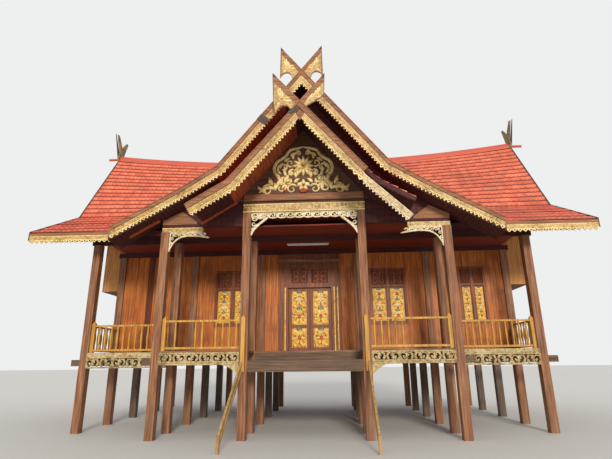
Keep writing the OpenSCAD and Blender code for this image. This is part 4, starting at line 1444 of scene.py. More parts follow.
    def horns(self, upper_front: float, lower_front: float) -> None:
        """Gold panels and dark tips on the four horns."""
        upper_line, lower_line = self.form.upper, self.form.lower
        upper_foot = ((0.225, 8.9), (0.28, 9.07), (0.35, 9.128), (0.43, 9.128), (0.508, 9.086), (0.56, 9.0))
        left_foot = (
            (0.195, 7.52), (0.307, 7.642), (0.433, 7.648), (0.531, 7.573), (0.592, 7.45), (0.65, 7.8)
        )
        right_foot = ((0.14, 7.6), (0.211, 7.651), (0.365, 7.739), (0.493, 7.845), (0.598, 7.936))
        upper = Horn(upper_line, self.upper_w[0], 0.56, upper_foot, upper_front)
        left = Horn(lower_line, self.lower_w[0], 0.66, left_foot, lower_front)
        right = Horn(lower_line, self.lower_w[0], 0.61, right_foot, lower_front)
        horns = (upper, left, right)
        panels = on_gables(*(horn.panel() for horn in horns))
        piece("horn_panels", panels, Finish.GOLD_GROUND)
        carving = on_gables(*(horn.carving() for horn in horns))
        piece("horn_carving", carving, Finish.GOLD)
        piece("horn_tips", on_gables(*(horn.point() for horn in horns)), Finish.VERGE)

    def repairs(self, upper_front: float, lower_front: float) -> None:
        """Dark strap under the lower crossing and a grey patch over a joint of the upper left board."""
        y = lower_front - 0.016
        strap = planks([-0.03, y, 7.62], [-0.25, y, 7.45], 0.1, 0.012, TO_FRONT, 0.002)
        board = self.upper_board(upper_front)
        s = np.full(2, 1.12 * float(board.edge.stretches()[2][0]))
        ends = board.point(s, np.array([0.004, 0.3]), upper_front - 0.018)
        patch = planks(ends[:1], ends[1:], 0.2, 0.012, TO_FRONT, 0.002).mirrored()
        piece("gable_board_repairs", joined([strap, patch]), Finish.VERGE)

    def ornament(self) -> None:
        """Carved mound on the porch pediment, with a star flower, scrolls, leaves and a lotus."""
        y = at(self.form.pediment_step - 0.06)
        place = on_face(y, z0=self.ornament_z)
        side = np.array(self.mound)
        t = np.linspace(0, len(side) - 1, STATIONS)
        outline = np.stack([np.interp(t, np.arange(len(side)), side[:, k]) for k in (0, 1)], axis=-1)
        gold = Motif().scroll(outline, 0.055, 0.7)
        for x, z, r0, r1, a0, a1, wide in (
            (-0.93, 0.12, 0.16, 0.03, 60, 500, 0.03), (-0.58, 0.17, 0.17, 0.03, 150, -260, 0.035),
            (-0.3, 0.13, 0.14, 0.03, 30, 460, 0.03), (-0.52, 0.72, 0.17, 0.03, 250, -160, 0.035),
            (-0.34, 0.86, 0.11, 0.02, 300, -80, 0.028), (-0.3, 0.58, 0.1, 0.02, 60, 430, 0.028),
            (-0.12, 1.14, 0.08, 0.02, 200, -160, 0.024),
        ):
            gold.scroll(spiral(x, z, r0, r1, a0, a1), wide)
        for x, z, angle in (
            (-0.62, 0.34, 70), (-0.42, 0.36, 100), (-0.24, 0.3, 60), (-0.8, 0.24, 120), (-1.05, 0.12, 160),
        ):
            gold.petal(leaf(x, z, angle, 0.2, -40), 0.045)
            gold.petal(leaf(x + 0.07, z - 0.08, angle - 40, 0.17, 40), 0.04)
        for x, z, angle, bend in (
            (-0.6, 0.72, 100, -60), (-0.5, 0.9, 60, -50), (-0.34, 1.06, 50, -40), (-0.44, 0.5, 130, -50),
            (-0.34, 0.5, 60, 60), (-0.2, 0.44, 80, 40), (-0.14, 0.5, 110, -40), (-0.52, 0.6, 60, 50),
            (-0.16, 1.12, 60, 50), (-0.26, 0.98, 110, -50), (-0.9, 0.3, 60, 60), (-0.72, 0.1, 100, -60),
        ):
            gold.petal(leaf(x, z, angle, 0.2, bend), 0.042)
        gold.mirror()
        gold.blossom(0.0, 0.78, 0.3, 12, 0.045)
        gold.blossom(0.0, 0.78, 0.16, 8, 0.03, 67)
        gold.blossom(-0.48, 0.3, 0.2, 7, 0.035).blossom(0.5, 0.32, 0.22, 8, 0.035)
        gold.blossom(0.0, 0.24, 0.17, 5, 0.05)
        piece("pediment_carving", gold.carve(place, 0.045), Finish.GOLD)
        red = Motif()
        for k in range(5):
            red.petal(leaf(0.0, 0.02, 30 + 30 * k, 0.15), 0.03)
        red.petal(leaf(-0.5, 0.05, 90, 0.1), 0.03)
        piece("pediment_lotus", red.carve(place, 0.06), Finish.RED)
        ends = ([x, at(-0.166), 5.73] for x in (-1.525, 1.525))
        ledge = planks(*ends, 0.176, 0.016, TO_FRONT)
        piece("pediment_ledge_board", ledge, Finish.GABLE)

    def fins(self) -> None:
        """Flame-shaped finial boards at both ends of the ridge, a crossed pair on each.

        Seen from the end, a fin leans outwards from the crossing: its middle line runs along a
        quarter of a parabola and its width is a sine that swells at the foot and runs out at the tip.
        """
        f = self.form
        t = np.linspace(0, 1, 20)
        shells = []
        for lean in (-1, 1):
            middle = lean * (-0.12 + 0.5 * t**1.4)
            z = self.fin_foot_z + self.fin_h * t
            half = 0.035 + 0.13 * np.sin(np.pi * np.clip(t, 0, 1)) ** 0.8 * (1 - 0.45 * t)
            rows = []
            for side, depth in ((-1, 0.05), (1, 0.05), (1, 0.0), (-1, 0.0)):
                y = at(f.ridge_step) + middle + side * half
                rows.append(rows_of(f.verge_x - 0.03 + depth, y, z))
            shells.append(bar(rows).moved(x=0.004 * lean))
        piece("ridge_end_fins", both(joined(shells)), Finish.FINIAL)

    def pediment_boards(self) -> None:
        """Upright boards of the upper pediment's face that shows past the porch."""
        f = self.form
        width = self.pediment_board_w
        x = np.arange(-3.56, 3.56, width) + width / 2
        top = f.upper.z(x) - f.upper_drop - f.upper_t - 0.03
        foot = np.where(np.abs(x) < 1.64, f.lower.z(x) - 0.05, 5.02)
        keep = top - foot > 0.1
        x, top, foot = x[keep], top[keep], foot[keep]
        y = at(f.pediment_step) - 0.008
        boards = planks(rows_of(x, y, foot), rows_of(x, y, top), width - 0.006, 0.016, TO_FRONT)
        # Boards in the maroon stain with painted shade
        piece("upper_pediment_boards", boards, Finish.SOFFIT)
        x = np.linspace(2.75, 3.64, 12)
        top = np.interp(x, [2.75, 3.15, 3.64], [5.14, 5.44, 5.2])
        end = slab(x, top, np.full_like(x, 5.085), y - 0.03, y - 0.006)
        piece("pediment_end_boards", both(end), Finish.GABLE)


# Walls


@dataclass
class Cladding:
    """Upright boards on a wall, cut round its openings."""

    width: float = 0.2
    thick: float = 0.012
    gap: float = 0.005
    chamfer: float = 0.003
    sill: float = 2.7
    head: float = 4.4
    least: float = 0.02

    def front(self, x0: float, x1: float, z0: float, z1: float, y: float, out: float, holes: Line) -> Shell:
        """Boards on a wall that faces the front or the back.

        Args:
            x0: left end of the wall.
            x1: right end.
            z0: foot of the boards.
            z1: top of the boards.
            y: the wall's face.
            out: -1 where the face looks to the front, 1 to the back.
            holes: pairs of x of the openings, all from the sill to the head. One without width only
                cuts the board that starts there, at both heights.

        Returns:
            The boards as closed solids.
        """
        count = max(1, round((x1 - x0) / self.width))
        width = (x1 - x0) / count
        x = x0 + (np.arange(count) + 0.5) * width
        starts, ends, widths = [], [], []
        for middle in x:
            left, right = middle - width / 2, middle + width / 2
            spans = [(left, right, z0, z1)]
            for a, b in holes:
                if b > left and a < right:
                    spans = [(left, right, z0, self.sill), (left, right, self.head, z1)]
                    if left < a:
                        spans.append((left, a, self.sill, self.head))
                    if right > b:
                        spans.append((b, right, self.sill, self.head))
            for p, q, low, high in spans:
                if min(q - p, high - low) > self.least:
                    starts.append([(p + q) / 2, y + out * self.thick / 2, low])
                    ends.append([(p + q) / 2, y + out * self.thick / 2, high])
                    widths.append(q - p - self.gap)
        rows = (np.array(part) for part in (starts, ends, widths))
        return planks(*rows, self.thick, out * TO_BACK, self.chamfer)

    def side(self, steps: Array, low: float, high: float | Array, x: float) -> Shell:
        """Boards on an outer side face, each up to its own top.

        Args:
            steps: middles of the boards.
            low: foot of the boards.
            high: top of the boards, one for all or one each.
            x: the wall's outer face, on the right of the house.

        Returns:
            The boards as closed solids.
        """
        width = steps[1] - steps[0] - self.gap
        starts, ends = (rows_of(x + self.thick / 2, at(steps), z) for z in (low, high))
        return planks(starts, ends, width, self.thick, TO_RIGHT, self.chamfer)


@dataclass
class Walls:
    """Boarded walls round the room, the boxes under the end gables and the ceiling."""

    cladding: Cladding = field(default_factory=Cladding)
    form: RoofForm = field(default_factory=RoofForm)
    wall_y: float = at(2.7) - 0.04
    back_y: float = at(7.96) + 0.04
    foot_z: float = 1.95
    top_z: float = 4.88
    box_z: float = 3.83
    door_x: float = 0.95
    end_x: float = 5.91
    box_x: float = 6.5
    # Edges of the posts along the wall, from the middle outwards
    bays: tuple[float, ...] = (1.35, 1.55, 3.45, 3.65, 5.77)
    # The back wall's board that starts here is made up of three lengths, end to end
    pieced: tuple[float, float] = (0.0, 0.0)

    def build(self) -> None:
        """Makes the wall boards and dresses the walls' own nodes."""

        def bay(x0: float, x1: float, *holes: tuple[float, float], back: bool = False) -> Shell:
            """Boards between two posts, or between a post and the doorway."""
            y, out = (self.back_y, 1) if back else (self.wall_y, -1)
            return self.cladding.front(x0, x1, self.foot_z, self.top_z, y, out, holes)

        a, b, c, d, e = self.bays
        left = joined([bay(-a, -self.door_x), bay(-c, -b, (-2.9, -1.8)), bay(-e, -d)])
        right = joined([bay(self.door_x, a), bay(b, c, (1.8, 2.9)), bay(d, e, (4.46, 5.24))])
        window, plain = bay(b, c, (1.95, 3.05), back=True), bay(d, e, back=True)
        back = joined([bay(-a, a, self.pieced, back=True), both(window), both(plain)])
        piece("front_boards_left", left, Finish.WALL)
        piece("front_boards_right", right, Finish.WALL)
        piece("back_boards", back, Finish.WALL)
        self.ends()
        dress(
            Finish.WALL,
            "front_wall_left",
            "front_wall_right",
            "back_wall",
            "side_wall_left",
            "side_wall_right",
        )
        # The boxes under the end gables take the wall varnish with painted shade
        dress(Finish.WALL_SHADE, "side_gable_left", "side_gable_right")
        # Plates and purlins take the maroon stain with painted shade
        dress(Finish.SOFFIT, "plates", "purlins")
        dress(Finish.CEILING, "veranda_ceiling")

    def ends(self) -> None:
        """Boards of the end walls under the hanging boxes, and of the boxes themselves."""
        f = self.form
        width = self.cladding.width
        steps = np.arange(2.8, 7.86, width) + width / 2
        wall = self.cladding.side(steps, self.foot_z, self.box_z, self.end_x)
        piece("end_wall_boards", both(wall), Finish.WALL)
        steps = np.arange(2.72, 6.3, width) + width / 2
        run = np.where(steps > f.ridge_step, 2 * f.ridge_step - steps, steps)
        top = f.main_z(np.full_like(run, self.box_x - 0.06), run) - 0.16
        box = self.cladding.side(steps, self.box_z, top, self.box_x)
        # The boxes' outer boards: the wall varnish with painted shade
        piece("end_gable_boards", both(box), Finish.WALL_SHADE)
        x = np.linspace(self.end_x + 0.01, self.box_x, 4)
        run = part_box("side_gable_right")[0][1] + ORIGIN_STEP
        top = np.full_like(x, float(f.main_z(np.array(6.2), np.array(run))) - 0.17)
        face = slab(x, top, np.full_like(x, self.box_z + 0.002), at(run) - 0.01, at(run) + 0.002)
        # The boxes' front boards: pale orange with painted sunlight
        piece("end_gable_front_boards", both(face), Finish.BOX)


# Openings


@dataclass
class PanelCarving:
    """Painted filigree on a coloured ground inside a rectangular panel."""

    x0: float
    x1: float
    z0: float
    z1: float
    y: float

    def motifs(self) -> dict[Finish, Motif]:
        """Draws the pattern: stacked cells of paired scrolls round a small blossom."""
        w, h = self.x1 - self.x0, self.z1 - self.z0
        cells = max(1, round(h / (w * 0.95)))
        ch = h / cells
        gold, red, white, blue, dark = (Motif() for _ in range(5))
        for k in range(cells):
            z = (k + 0.5) * ch
            half = Motif()
            half.scroll(spiral(0.26 * w, z + 0.22 * ch, 0.2 * w, 0.04 * w, 200, -160), 0.05 * w)
            half.scroll(spiral(0.26 * w, z - 0.22 * ch, 0.2 * w, 0.04 * w, 160, 520), 0.05 * w)
            half.petal(leaf(0.06 * w, z, 0, 0.34 * w), 0.08 * w)
            half.petal(leaf(0.44 * w, z + 0.4 * ch, 200, 0.3 * w, -60), 0.07 * w)
            half.petal(leaf(0.44 * w, z - 0.4 * ch, 160, 0.3 * w, 60), 0.07 * w)
            half.petal(leaf(0.08 * w, z + 0.1 * ch, 70, 0.34 * ch), 0.05 * w)
            half.petal(leaf(0.08 * w, z - 0.1 * ch, -70, 0.34 * ch), 0.05 * w)
            half.mirror()
            gold.take(half)
            (white if k % 2 else red).blossom(0.0, z, 0.16 * w, 6, 0.045 * w)
            white.blossom(0.0, z + 0.28 * ch, 0.1 * w, 4, 0.035 * w)
            red.blossom(0.0, z - 0.28 * ch, 0.08 * w, 4, 0.03 * w)
            blue.blossom(0.0, z + 0.5 * ch, 0.15 * w, 4, 0.06 * w)
            for side in (-1, 1):
                dark.petal(leaf(side * 0.3 * w, z + 0.02 * ch, 90, 0.16 * ch, 30 * side), 0.04 * w)
                dark.petal(leaf(side * 0.14 * w, z + 0.36 * ch, 90, 0.16 * ch, -30 * side), 0.04 * w)
                dark.petal(leaf(side * 0.38 * w, z - 0.46 * ch, 90, 0.12 * ch, 20 * side), 0.035 * w)
        return {
            Finish.DOOR_GOLD: gold,
            Finish.RED: red,
            Finish.WHITE: white,
            Finish.TURQUOISE: blue,
            Finish.GREEN: dark,
        }

    def shells(self) -> dict[Finish, Shell]:
        """Carves each colour of the pattern on the panel's face."""
        middle = (self.x0 + self.x1) / 2

        def place(u: Array, v: Array) -> Array:
            """Point on the panel's face."""
            v = np.clip(v, 0.004, self.z1 - self.z0 - 0.004)
            return rows_of(middle + u, self.y, self.z0 + v)

        return {f: m.carve(place, 0.012) for f, m in self.motifs().items() if m.paths}

    def ground(self) -> Shell:
        """Thin coloured board behind the filigree."""
        middle = (self.x0 + self.x1) / 2
        a = np.array([[middle, self.y + 0.003, self.z0]])
        b = np.array([[middle, self.y + 0.003, self.z1]])
        return planks(a, b, self.x1 - self.x0, 0.006, TO_FRONT, 0.001)


def place_panels(name: str, panels: Sequence[PanelCarving], body: str, ground: Finish) -> None:
    """Makes the grounds and the filigree of several panels as one piece for each colour.

    Args:
        name: first part of the pieces' names.
        panels: the panels.
        body: CAD body that they move with.
        ground: finish of the boards behind.
    """
    piece(name + "_ground", joined([p.ground() for p in panels]), ground, body)
    colours: dict[Finish, list[Shell]] = {}
    for panel in panels:
        for finish, shell in panel.shells().items():
            colours.setdefault(finish, []).append(shell)
    for finish, shells in colours.items():
        piece(f"{name}_{finish.name.lower()}", joined(shells), finish, body)


@dataclass
class Openings:
    """Doors and windows with their frames and painted panels."""

    leaf_x0: float = 0.004
    leaf_x1: float = 0.644
    leaf_z0: float = 1.986
    leaf_h: float = 1.85
    stile: float = 0.09
    play: float = 0.004
    frame_w: float = 0.055
    sill_z: float = 2.7
    rail_z: float = 3.82
    head_z: float = 4.4
    wall_y: float = at(2.7)

    def build(self) -> None:
        """Makes the panels of the door leaves, of the windows and over them."""
        self.leaves()
        self.windows()
        dress(Finish.JOINERY, "door_leaf_left", "door_leaf_right", "door_jambs", "door_head")
        dress(Finish.JOINERY, "front_windows_left", "front_windows_right", "back_windows")
        dress(Finish.BLACK, "door_hinges")

    def leaves(self) -> None:
        """Tall upper and short lower panel on each door leaf."""
        face = at(2.76) - 0.045 + 0.015
        split = self.leaf_z0 + 0.38 * self.leaf_h
        rows = (
            (self.leaf_z0 + self.stile, split - self.stile / 2),
            (split + self.stile / 2, self.leaf_z0 + self.leaf_h - self.stile),
        )
        a, b = self.leaf_x0 + self.stile, self.leaf_x1 - self.stile
        for side, name in ((1, "right"), (-1, "left")):
            x0, x1 = sorted((side * a, side * b))
            inner = [(low + self.play, high - self.play) for low, high in rows]
            panels = [PanelCarving(x0 + self.play, x1 - self.play, *z, face - 0.006) for z in inner]
            place_panels("door_panel_" + name, panels, "door_leaf_" + name, Finish.DOOR_GROUND)

    def windows(self) -> None:
        """Painted panels on the closed shutters and dark ones over them."""
        frame_w, rail = self.frame_w, self.rail_z
        y = self.wall_y - 0.034
        spans = {"left": [(-2.9, -1.8)], "right": [(1.8, 2.9), (4.46, 5.24)]}
        dark: list[PanelCarving] = []
        for name, windows in spans.items():
            bright = []
            for a, b in windows:
                middle = (a + b) / 2
                for p, q in ((a + frame_w, middle - 0.035), (middle + 0.035, b - frame_w)):
                    bright.append(
                        PanelCarving(p + 0.035, q - 0.035, self.sill_z + frame_w + 0.05, rail - 0.05, y)
                    )
                    low, high = rail + frame_w + 0.02, self.head_z - frame_w - 0.02
                    dark.append(PanelCarving(p + 0.02, q - 0.02, low, high, self.wall_y - 0.019))
            place_panels("shutter_panel_" + name, bright, "house", Finish.DOOR_GROUND)
        door_z = self.leaf_z0 + self.leaf_h + 0.006
        for side in (-1, 1):
            a, b = sorted((side * 0.05, side * 0.56))
            dark.append(PanelCarving(a, b, door_z + 0.15, door_z + 0.54, self.wall_y - 0.026))
        # Grounds over the openings in the wall varnish with painted shade
        piece("transom_grounds", joined([p.ground() for p in dark]), Finish.WALL_SHADE)
        shells = [s for p in dark for s in p.shells().values()]
        piece("transom_carving", joined(shells), Finish.JOINERY)
        head_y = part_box("door_head")[0][1] - 0.012
        ends = ([x, head_y - 0.014, 4.66] for x in (-0.93, 0.93))
        lintel = planks(*ends, 0.09, 0.028, TO_FRONT)
        piece("door_lintel_board", lintel, Finish.DECK)
        jamb_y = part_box("door_jambs")[0][1]
        x = np.array([-0.74, 0.74, 0.84])
        feet, tops = (rows_of(x, jamb_y - 0.01, z) for z in (1.98, 3.84))
        mouldings = planks(feet, tops, 0.035, 0.02, TO_FRONT, 0.006)
        piece("door_jamb_mouldings", mouldings, Finish.DOOR_GOLD)
        # Upright strip in the left bay, in the wall varnish with painted shade
        ends = ([-4.945, self.wall_y - 0.06, z] for z in (1.96, 4.87))
        strip = planks(*ends, 0.19, 0.02, TO_FRONT)
        piece("left_bay_strip", strip, Finish.WALL_SHADE)


# Porch and veranda


@dataclass
class Porch:
    """Carved beams, valances and floor boards of the porch and the veranda."""

    post_x: float = 1.45
    side_x: float = 3.55
    corner_x: float = 5.87
    post_r: float = 0.1
    veranda_step: float = 1.06
    beam_foot_z: float = 5.36
    # Scrolls in the corners of the porch valance: place in from the post, place down, and radius
    corner_scrolls: tuple[tuple[float, float, float], ...] = (
        (0.08, -0.14, 0.085),
        (0.07, -0.3, 0.065),
        (0.05, -0.43, 0.045),
        (0.22, -0.1, 0.075),
        (0.33, -0.07, 0.05),
    )
    # Radius and height of a baluster, from its foot up
    baluster: Line = (
        (0.019, 0.0), (0.025, 0.03), (0.016, 0.07), (0.022, 0.13), (0.029, 0.24), (0.031, 0.3),
        (0.026, 0.38), (0.017, 0.47), (0.016, 0.51), (0.025, 0.55), (0.019, 0.584),
    )
    baluster_pitch: float = 0.165
    baluster_foot_z: float = 2.0405

    def build(self) -> None:
        """Makes the carving of the porch and dresses the timber."""
        self.beam()
        self.valance()
        self.side_valances()
        self.balusters()
        self.ceiling()
        self.floor_boards()
        self.lamp()
        dress(Finish.POST, "porch_posts", "side_posts", "veranda_posts", "wall_posts", "back_posts")
        dress(Finish.STILT, "middle_stilts", "floor_joists")
        dress(Finish.BEAM, "floor_beams", "porch_landing")
        dress(Finish.DECK, "veranda_floor", "house_floor")
        dress(Finish.RAIL, "newel_posts", "railing_left", "railing_right", "side_railings")
        dress(Finish.STAIR, "stair_rail_left", "stair_rail_right")
        dress(Finish.GOLD_GROUND, "porch_beam", "side_beams")

    def beam(self) -> None:
        """Running vine along the porch beam and the two side beams, between border strands."""
        x = self.post_x + self.post_r
        y = at(-0.1)
        vine = repeat(vine_unit(2 * x / 7, 0.15), 2 * x / 7, 7, 0.0).carve(on_face(y, -x, 5.395), 0.016)
        frames = self.borders(x0=-x, x1=x, y=y, heights=(5.375, 5.565), half=0.016, rise=0.018)
        y = at(-0.04)
        near, far = 2.6, self.side_x + self.post_r
        span = far - near
        side = repeat(vine_unit(span / 4, 0.1), span / 4, 4, 0.0).carve(on_face(y, near, 4.9), 0.014)
        side_frames = self.borders(x0=near, x1=far, y=y, heights=(4.9, 5.0), half=0.012, rise=0.016)
        carving = joined([vine, frames, both(side), both(side_frames)])
        piece("porch_beam_carving", carving, Finish.GOLD)

    def borders(
        self, x0: float, x1: float, y: float, heights: Sequence[float], half: float, rise: float
    ) -> Shell:
        """Level border strands on a beam's face.

        Args:
            x0: left end of the strands.
            x1: right end.
            y: the beam's face.
            heights: height of each strand.
            half: half its width.
            rise: height of its crown over the face.

        Returns:
            The strands as closed solids.
        """
        x = np.linspace(x0, x1, STATIONS)
        rows = np.stack([rows_of(x, y, z) for z in heights])
        return strands(rows, np.full(rows.shape[:2], half), rise, TO_FRONT)

    def valance(self) -> None:
        """Pierced boards under the porch beam and beside the side posts: strands through and through."""
        x = self.post_x - self.post_r
        y = at(-0.05)
        motif = Motif()
        n = 12
        pitch = 2 * x / n
        for k in range(n):
            left = -x + k * pitch
            motif.scroll(spiral(left + 0.5 * pitch, -0.072, 0.3 * pitch, 0.07 * pitch, 180, -220), 0.024)
            motif.petal(leaf(left + 0.06 * pitch, -0.02, -80, 0.12, -20), 0.034)
            motif.petal(leaf(left + 0.92 * pitch, -0.03, -100, 0.1, 30), 0.03)
            foot = np.stack([left + pitch * ALONG, -0.125 - 0.022 * np.sin(np.pi * ALONG)], axis=-1)
            motif.scroll(foot, 0.02, 1.0)
        for side in (-1, 1):
            edge = np.stack([side * (x - 0.42 * ALONG**1.6), -0.6 + 0.46 * ALONG], axis=-1)
            motif.scroll(edge, 0.032, 1.0)
            turn = 180 if side > 0 else 0
            for dx, dz, r in self.corner_scrolls:
                motif.scroll(spiral(side * (x - dx), dz, r, 0.015, turn, turn + side * 400), 0.02)
        motif.scroll(straight(-x, -0.012, x, -0.012), 0.018, 1.0)
        shell = motif.carve(on_face(y, z0=self.beam_foot_z), 0.014, back=0.016)
        piece("porch_valance_carving", shell, Finish.CREAM, replaces=["porch_valance"])

    def balusters(self) -> None:
        """Turned balusters round the railings' own rods, with the gaps where some are missing at the left."""
        pitch, first = self.baluster_pitch, 0.6
        inner, outer = self.post_x + self.post_r, self.side_x + self.post_r
        right = inner + (np.arange(5) + first) * pitch
        left = -(inner + (np.array([0, 1, 2, 3, 5, 6, 9]) + first) * pitch)
        row = outer + (np.arange(12) + first) * pitch
        ends = at(self.veranda_step) + self.post_r + (np.arange(8) + first) * pitch
        x = np.concatenate([right, left, row, -row, np.full(8, self.corner_x), np.full(8, -self.corner_x)])
        y = np.concatenate([np.full(12, at(0.0)), np.full(24, at(self.veranda_step)), ends, ends])
        rods = lathe(self.baluster, x, y, np.full_like(x, self.baluster_foot_z), 10)
        piece("turned_balusters", rods, Finish.RAIL, smooth=True)

    def ceiling(self) -> None:
        """Boards under the porch roof, from the porch beam back to the veranda's ceiling."""
        x = np.arange(-1.3, 1.31, 0.13)
        starts, ends = (rows_of(x, at(s), 5.345) for s in (0.0, 1.05))
        boards = planks(starts, ends, 0.126, 0.02, UP)
        # The ceiling boards take the red stain with painted sunlight
        piece("porch_ceiling_boards", boards, Finish.SOFFIT_LIT)

    def side_valances(self) -> None:
        """Pierced boards under the side beams: scrolls that hang from a strip, longer towards the post."""
        near, far, top = 2.41, 3.45, 4.885
        y = at(-0.05)
        motif = Motif()
        motif.scroll(straight(2.6, top - 0.014, far, top - 0.014), 0.018, 1.0)
        foot = top - 0.155 + 0.06 * np.sin(np.pi * ALONG) - 0.35 * ALONG**8
        motif.scroll(np.stack([near + (far - near) * ALONG, foot], axis=-1), 0.02, 1.0)
        motif.scroll(straight(far - 0.02, top, far - 0.02, top - 0.5), 0.02, 1.0)
        for k in range(6):
            x = 2.56 + 0.145 * k
            motif.scroll(spiral(x, top - 0.078, 0.05, 0.016, 180, -200), 0.019)
            motif.petal(leaf(x + 0.07, top - 0.02, -90, 0.11), 0.022)
        for x, z, r in ((3.38, top - 0.17, 0.045), (3.4, top - 0.28, 0.035), (3.41, top - 0.38, 0.025)):
            motif.scroll(spiral(x, z, r, 0.012, 0, 400), 0.018)
        shell = motif.carve(on_face(y), 0.014, back=0.016)
        piece("side_valance_carving", both(shell), Finish.CREAM, replaces=["side_valances"])

    def floor_boards(self) -> None:
        """Pierced boards under the edges of the veranda floor: a frame with paired scrolls in it."""
        shells = []
        for x0, x1, y, z0, z1 in (
            (self.post_x + 0.1, self.side_x - 0.1, at(-0.1), 1.67, 1.915),
            (self.side_x + 0.1, self.corner_x - 0.1, at(self.veranda_step - 0.13), 1.56, 1.85),
        ):
            length, h = x1 - x0, z1 - z0
            units = 3
            w = length / units
            motif = Motif()
            for k in range(units):
                c = (k + 0.5) * w
                half = Motif()
                r = 0.34 * h
                half.scroll(spiral(c + 0.16 * w, 0.5 * h, r, 0.05, 250, -70), 0.022)
                half.scroll(spiral(c + 0.36 * w, 0.5 * h, r, 0.05, -70, 250), 0.02)
                half.petal(leaf(c + 0.02, 0.5 * h, 50, 0.45 * h, 40), 0.03)
                half.petal(leaf(c + 0.02, 0.5 * h, -50, 0.45 * h, -40), 0.03)
                half.petal(leaf(c + 0.26 * w, 0.15 * h, 90, 0.7 * h), 0.026)
                half.petal(leaf(c + 0.16 * w, 0.5 * h, 20, 0.12, 80), 0.03)
                half.petal(leaf(c + 0.4 * w, 0.5 * h, 200, 0.1, 80), 0.03)
                half.petal(leaf(c + 0.5 * w, 0.1 * h, 120, 0.3 * h, -40), 0.03)
                half.petal(leaf(c + 0.5 * w, 0.9 * h, 240, 0.3 * h, 40), 0.03)
                motif.take(half.mirror(c))
            rails = [straight(0.0, z, length, z) for z in (0.022, h - 0.022)]
            posts = [straight(x, 0.01, x, h - 0.01) for x in (0.02, length - 0.02)]
            motif.take(Motif(rails + posts, [np.full(STATIONS, half) for half in (0.022, 0.022, 0.02, 0.02)]))
            shells.append(motif.carve(on_face(y, x0, z0), 0.012, back=0.018))
        ledge_y = at(self.veranda_step - 0.115)
        ends = ([x, ledge_y, 1.9] for x in (self.side_x + 0.1, self.corner_x - 0.1))
        shells.append(planks(*ends, 0.1, 0.03, TO_FRONT))
        x = np.linspace(self.post_x + 0.1, self.post_x + 0.5, 12)
        foot = 1.625 - 0.225 * ((x[-1] - x) / 0.4) ** 1.6 - 0.004
        shells.append(slab(x, np.full_like(x, 1.625), foot, at(-0.09), at(-0.06)))
        ends = ([x, at(-0.078), 1.648] for x in (self.post_x + 0.1, self.side_x - 0.1))
        shells.append(planks(*ends, 0.045, 0.045, TO_FRONT))
        right = joined(shells)
        for side, shell in (("right", right), ("left", right.mirrored())):
            nodes = ["floor_trim_" + side]
            piece("floor_carving_" + side, shell, Finish.PALE_CARVING, replaces=nodes)

    def lamp(self) -> None:
        """Tube lamp on the veranda's ceiling."""
        y = at(1.9)
        path = rows_of(np.linspace(-0.6, 0.6, STATIONS), y, 4.99)[None]
        tube = strands(path, np.full((1, STATIONS), 0.016), 0.02, -UP, 0.012)
        tray = planks([-0.62, y, 5.015], [0.62, y, 5.015], 0.06, 0.03, UP)
        piece("veranda_lamp", joined([tube, tray]), Finish.LAMP)


# Camera, light and floor


def turned(right: Array, up: Array, back: Array, place: Sequence[float] = (0.0, 0.0, 0.0)) -> Matrix:
    """Matrix that turns an object's three axes to directions and takes it to a place."""
    return Matrix([[right[k], up[k], back[k], place[k]] for k in range(3)] + [[0, 0, 0, 1]])


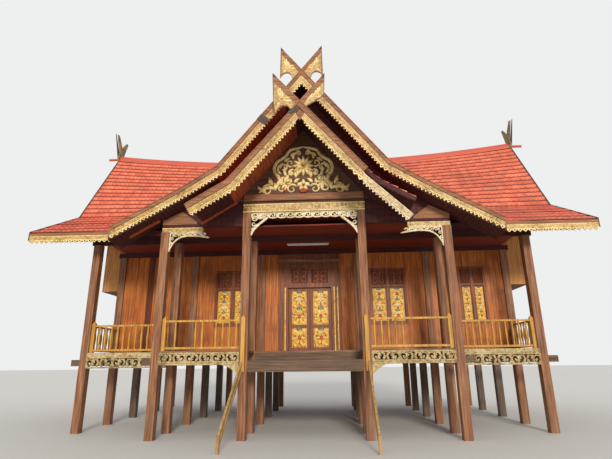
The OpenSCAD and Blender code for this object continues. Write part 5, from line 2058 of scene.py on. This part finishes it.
@dataclass
class Studio:
    """Camera at the photograph's angle, soft light and a pale floor."""

    place: tuple[float, float, float] = (0.638, -14.387, 1.681)
    yaw: float = 3.117
    pitch: float = 16.562
    roll: float = -0.56
    lens: float = 26.13
    sensor_mm: float = 36.0
    far_end: float = 300.0
    floor_half: float = 120.0
    sun_strength: float = 2.3
    sun_aim: tuple[float, float, float] = (-0.15, 1.0, -0.34)
    sun_spread: float = 12.0
    sky_strength: float = 0.75

    def build(self) -> None:
        """Makes the camera, the lights, the world and the floor."""
        self.camera()
        self.lights()
        self.floor()
        bpy.context.scene.view_settings.view_transform = "Standard"

    def camera(self) -> None:
        """Sets the camera from its yaw, pitch and roll."""
        yaw, pitch, roll = (math.radians(a) for a in (self.yaw, self.pitch, self.roll))
        forward = np.array(
            [-math.sin(yaw) * math.cos(pitch), math.cos(yaw) * math.cos(pitch), math.sin(pitch)]
        )
        right = np.array([math.cos(yaw), math.sin(yaw), 0.0])
        up = np.cross(right, forward)
        right, up = right * math.cos(roll) + up * math.sin(roll), up * math.cos(roll) - right * math.sin(roll)
        data = bpy.data.cameras.new("view")
        data.lens = self.lens
        data.sensor_width = self.sensor_mm
        data.clip_end = self.far_end
        camera = bpy.data.objects.new("view", data)
        camera.matrix_world = turned(right, up, -forward, self.place)
        bpy.context.scene.collection.objects.link(camera)
        bpy.context.scene.camera = camera

    def lights(self) -> None:
        """A broad warm sun from the front left, and an even pale sky."""
        data = bpy.data.lights.new("key", "SUN")
        data.energy = self.sun_strength
        data.angle = math.radians(self.sun_spread)
        data.color = (1.0, 0.93, 0.82)
        sun = bpy.data.objects.new("key", data)
        back = unit(-np.array(self.sun_aim))
        right = unit(np.cross(UP, back))
        sun.matrix_world = turned(right, np.cross(back, right), back)
        bpy.context.scene.collection.objects.link(sun)
        world = bpy.data.worlds.new("sky")
        world.use_nodes = True
        tree = world.node_tree
        out = tree.nodes["World Output"]
        soft = tree.nodes["Background"]
        soft.inputs["Color"].default_value = linear("#f2f4f8")
        soft.inputs["Strength"].default_value = self.sky_strength
        plain = add(tree, "ShaderNodeBackground", {"Color": linear("#eeefef"), "Strength": 1.0})
        rays = add(tree, "ShaderNodeLightPath", {})
        seen = add(
            tree,
            "ShaderNodeMixShader",
            {0: rays.outputs["Is Camera Ray"], 1: soft.outputs[0], 2: plain.outputs[0]},
        )
        tree.links.new(seen.outputs[0], out.inputs["Surface"])
        bpy.context.scene.world = world

    def floor(self) -> None:
        """Pale level floor that isn't part of the house."""
        mesh = bpy.data.meshes.new("studio_floor")
        r = self.floor_half
        mesh.from_pydata([(-r, -r, 0), (r, -r, 0), (r, r, 0), (-r, r, 0)], [], [(0, 1, 2, 3)])
        material, shader, _ = started("pale_floor", 0.9)
        shader.inputs["Base Color"].default_value = linear("#d8d6d0")
        mesh.materials.append(material)
        obj = bpy.data.objects.new("studio_floor", mesh)
        bpy.context.scene.collection.objects.link(obj)


def main() -> None:
    """Builds the studio and every sub-assembly of the house, in order from the ground up."""
    logging.basicConfig(level=logging.INFO, format="%(name)s %(message)s")
    Studio().build()
    Porch().build()
    Walls().build()
    Openings().build()
    Gables().build()
    Roofing().build()


if __name__ == "__main__":
    main()
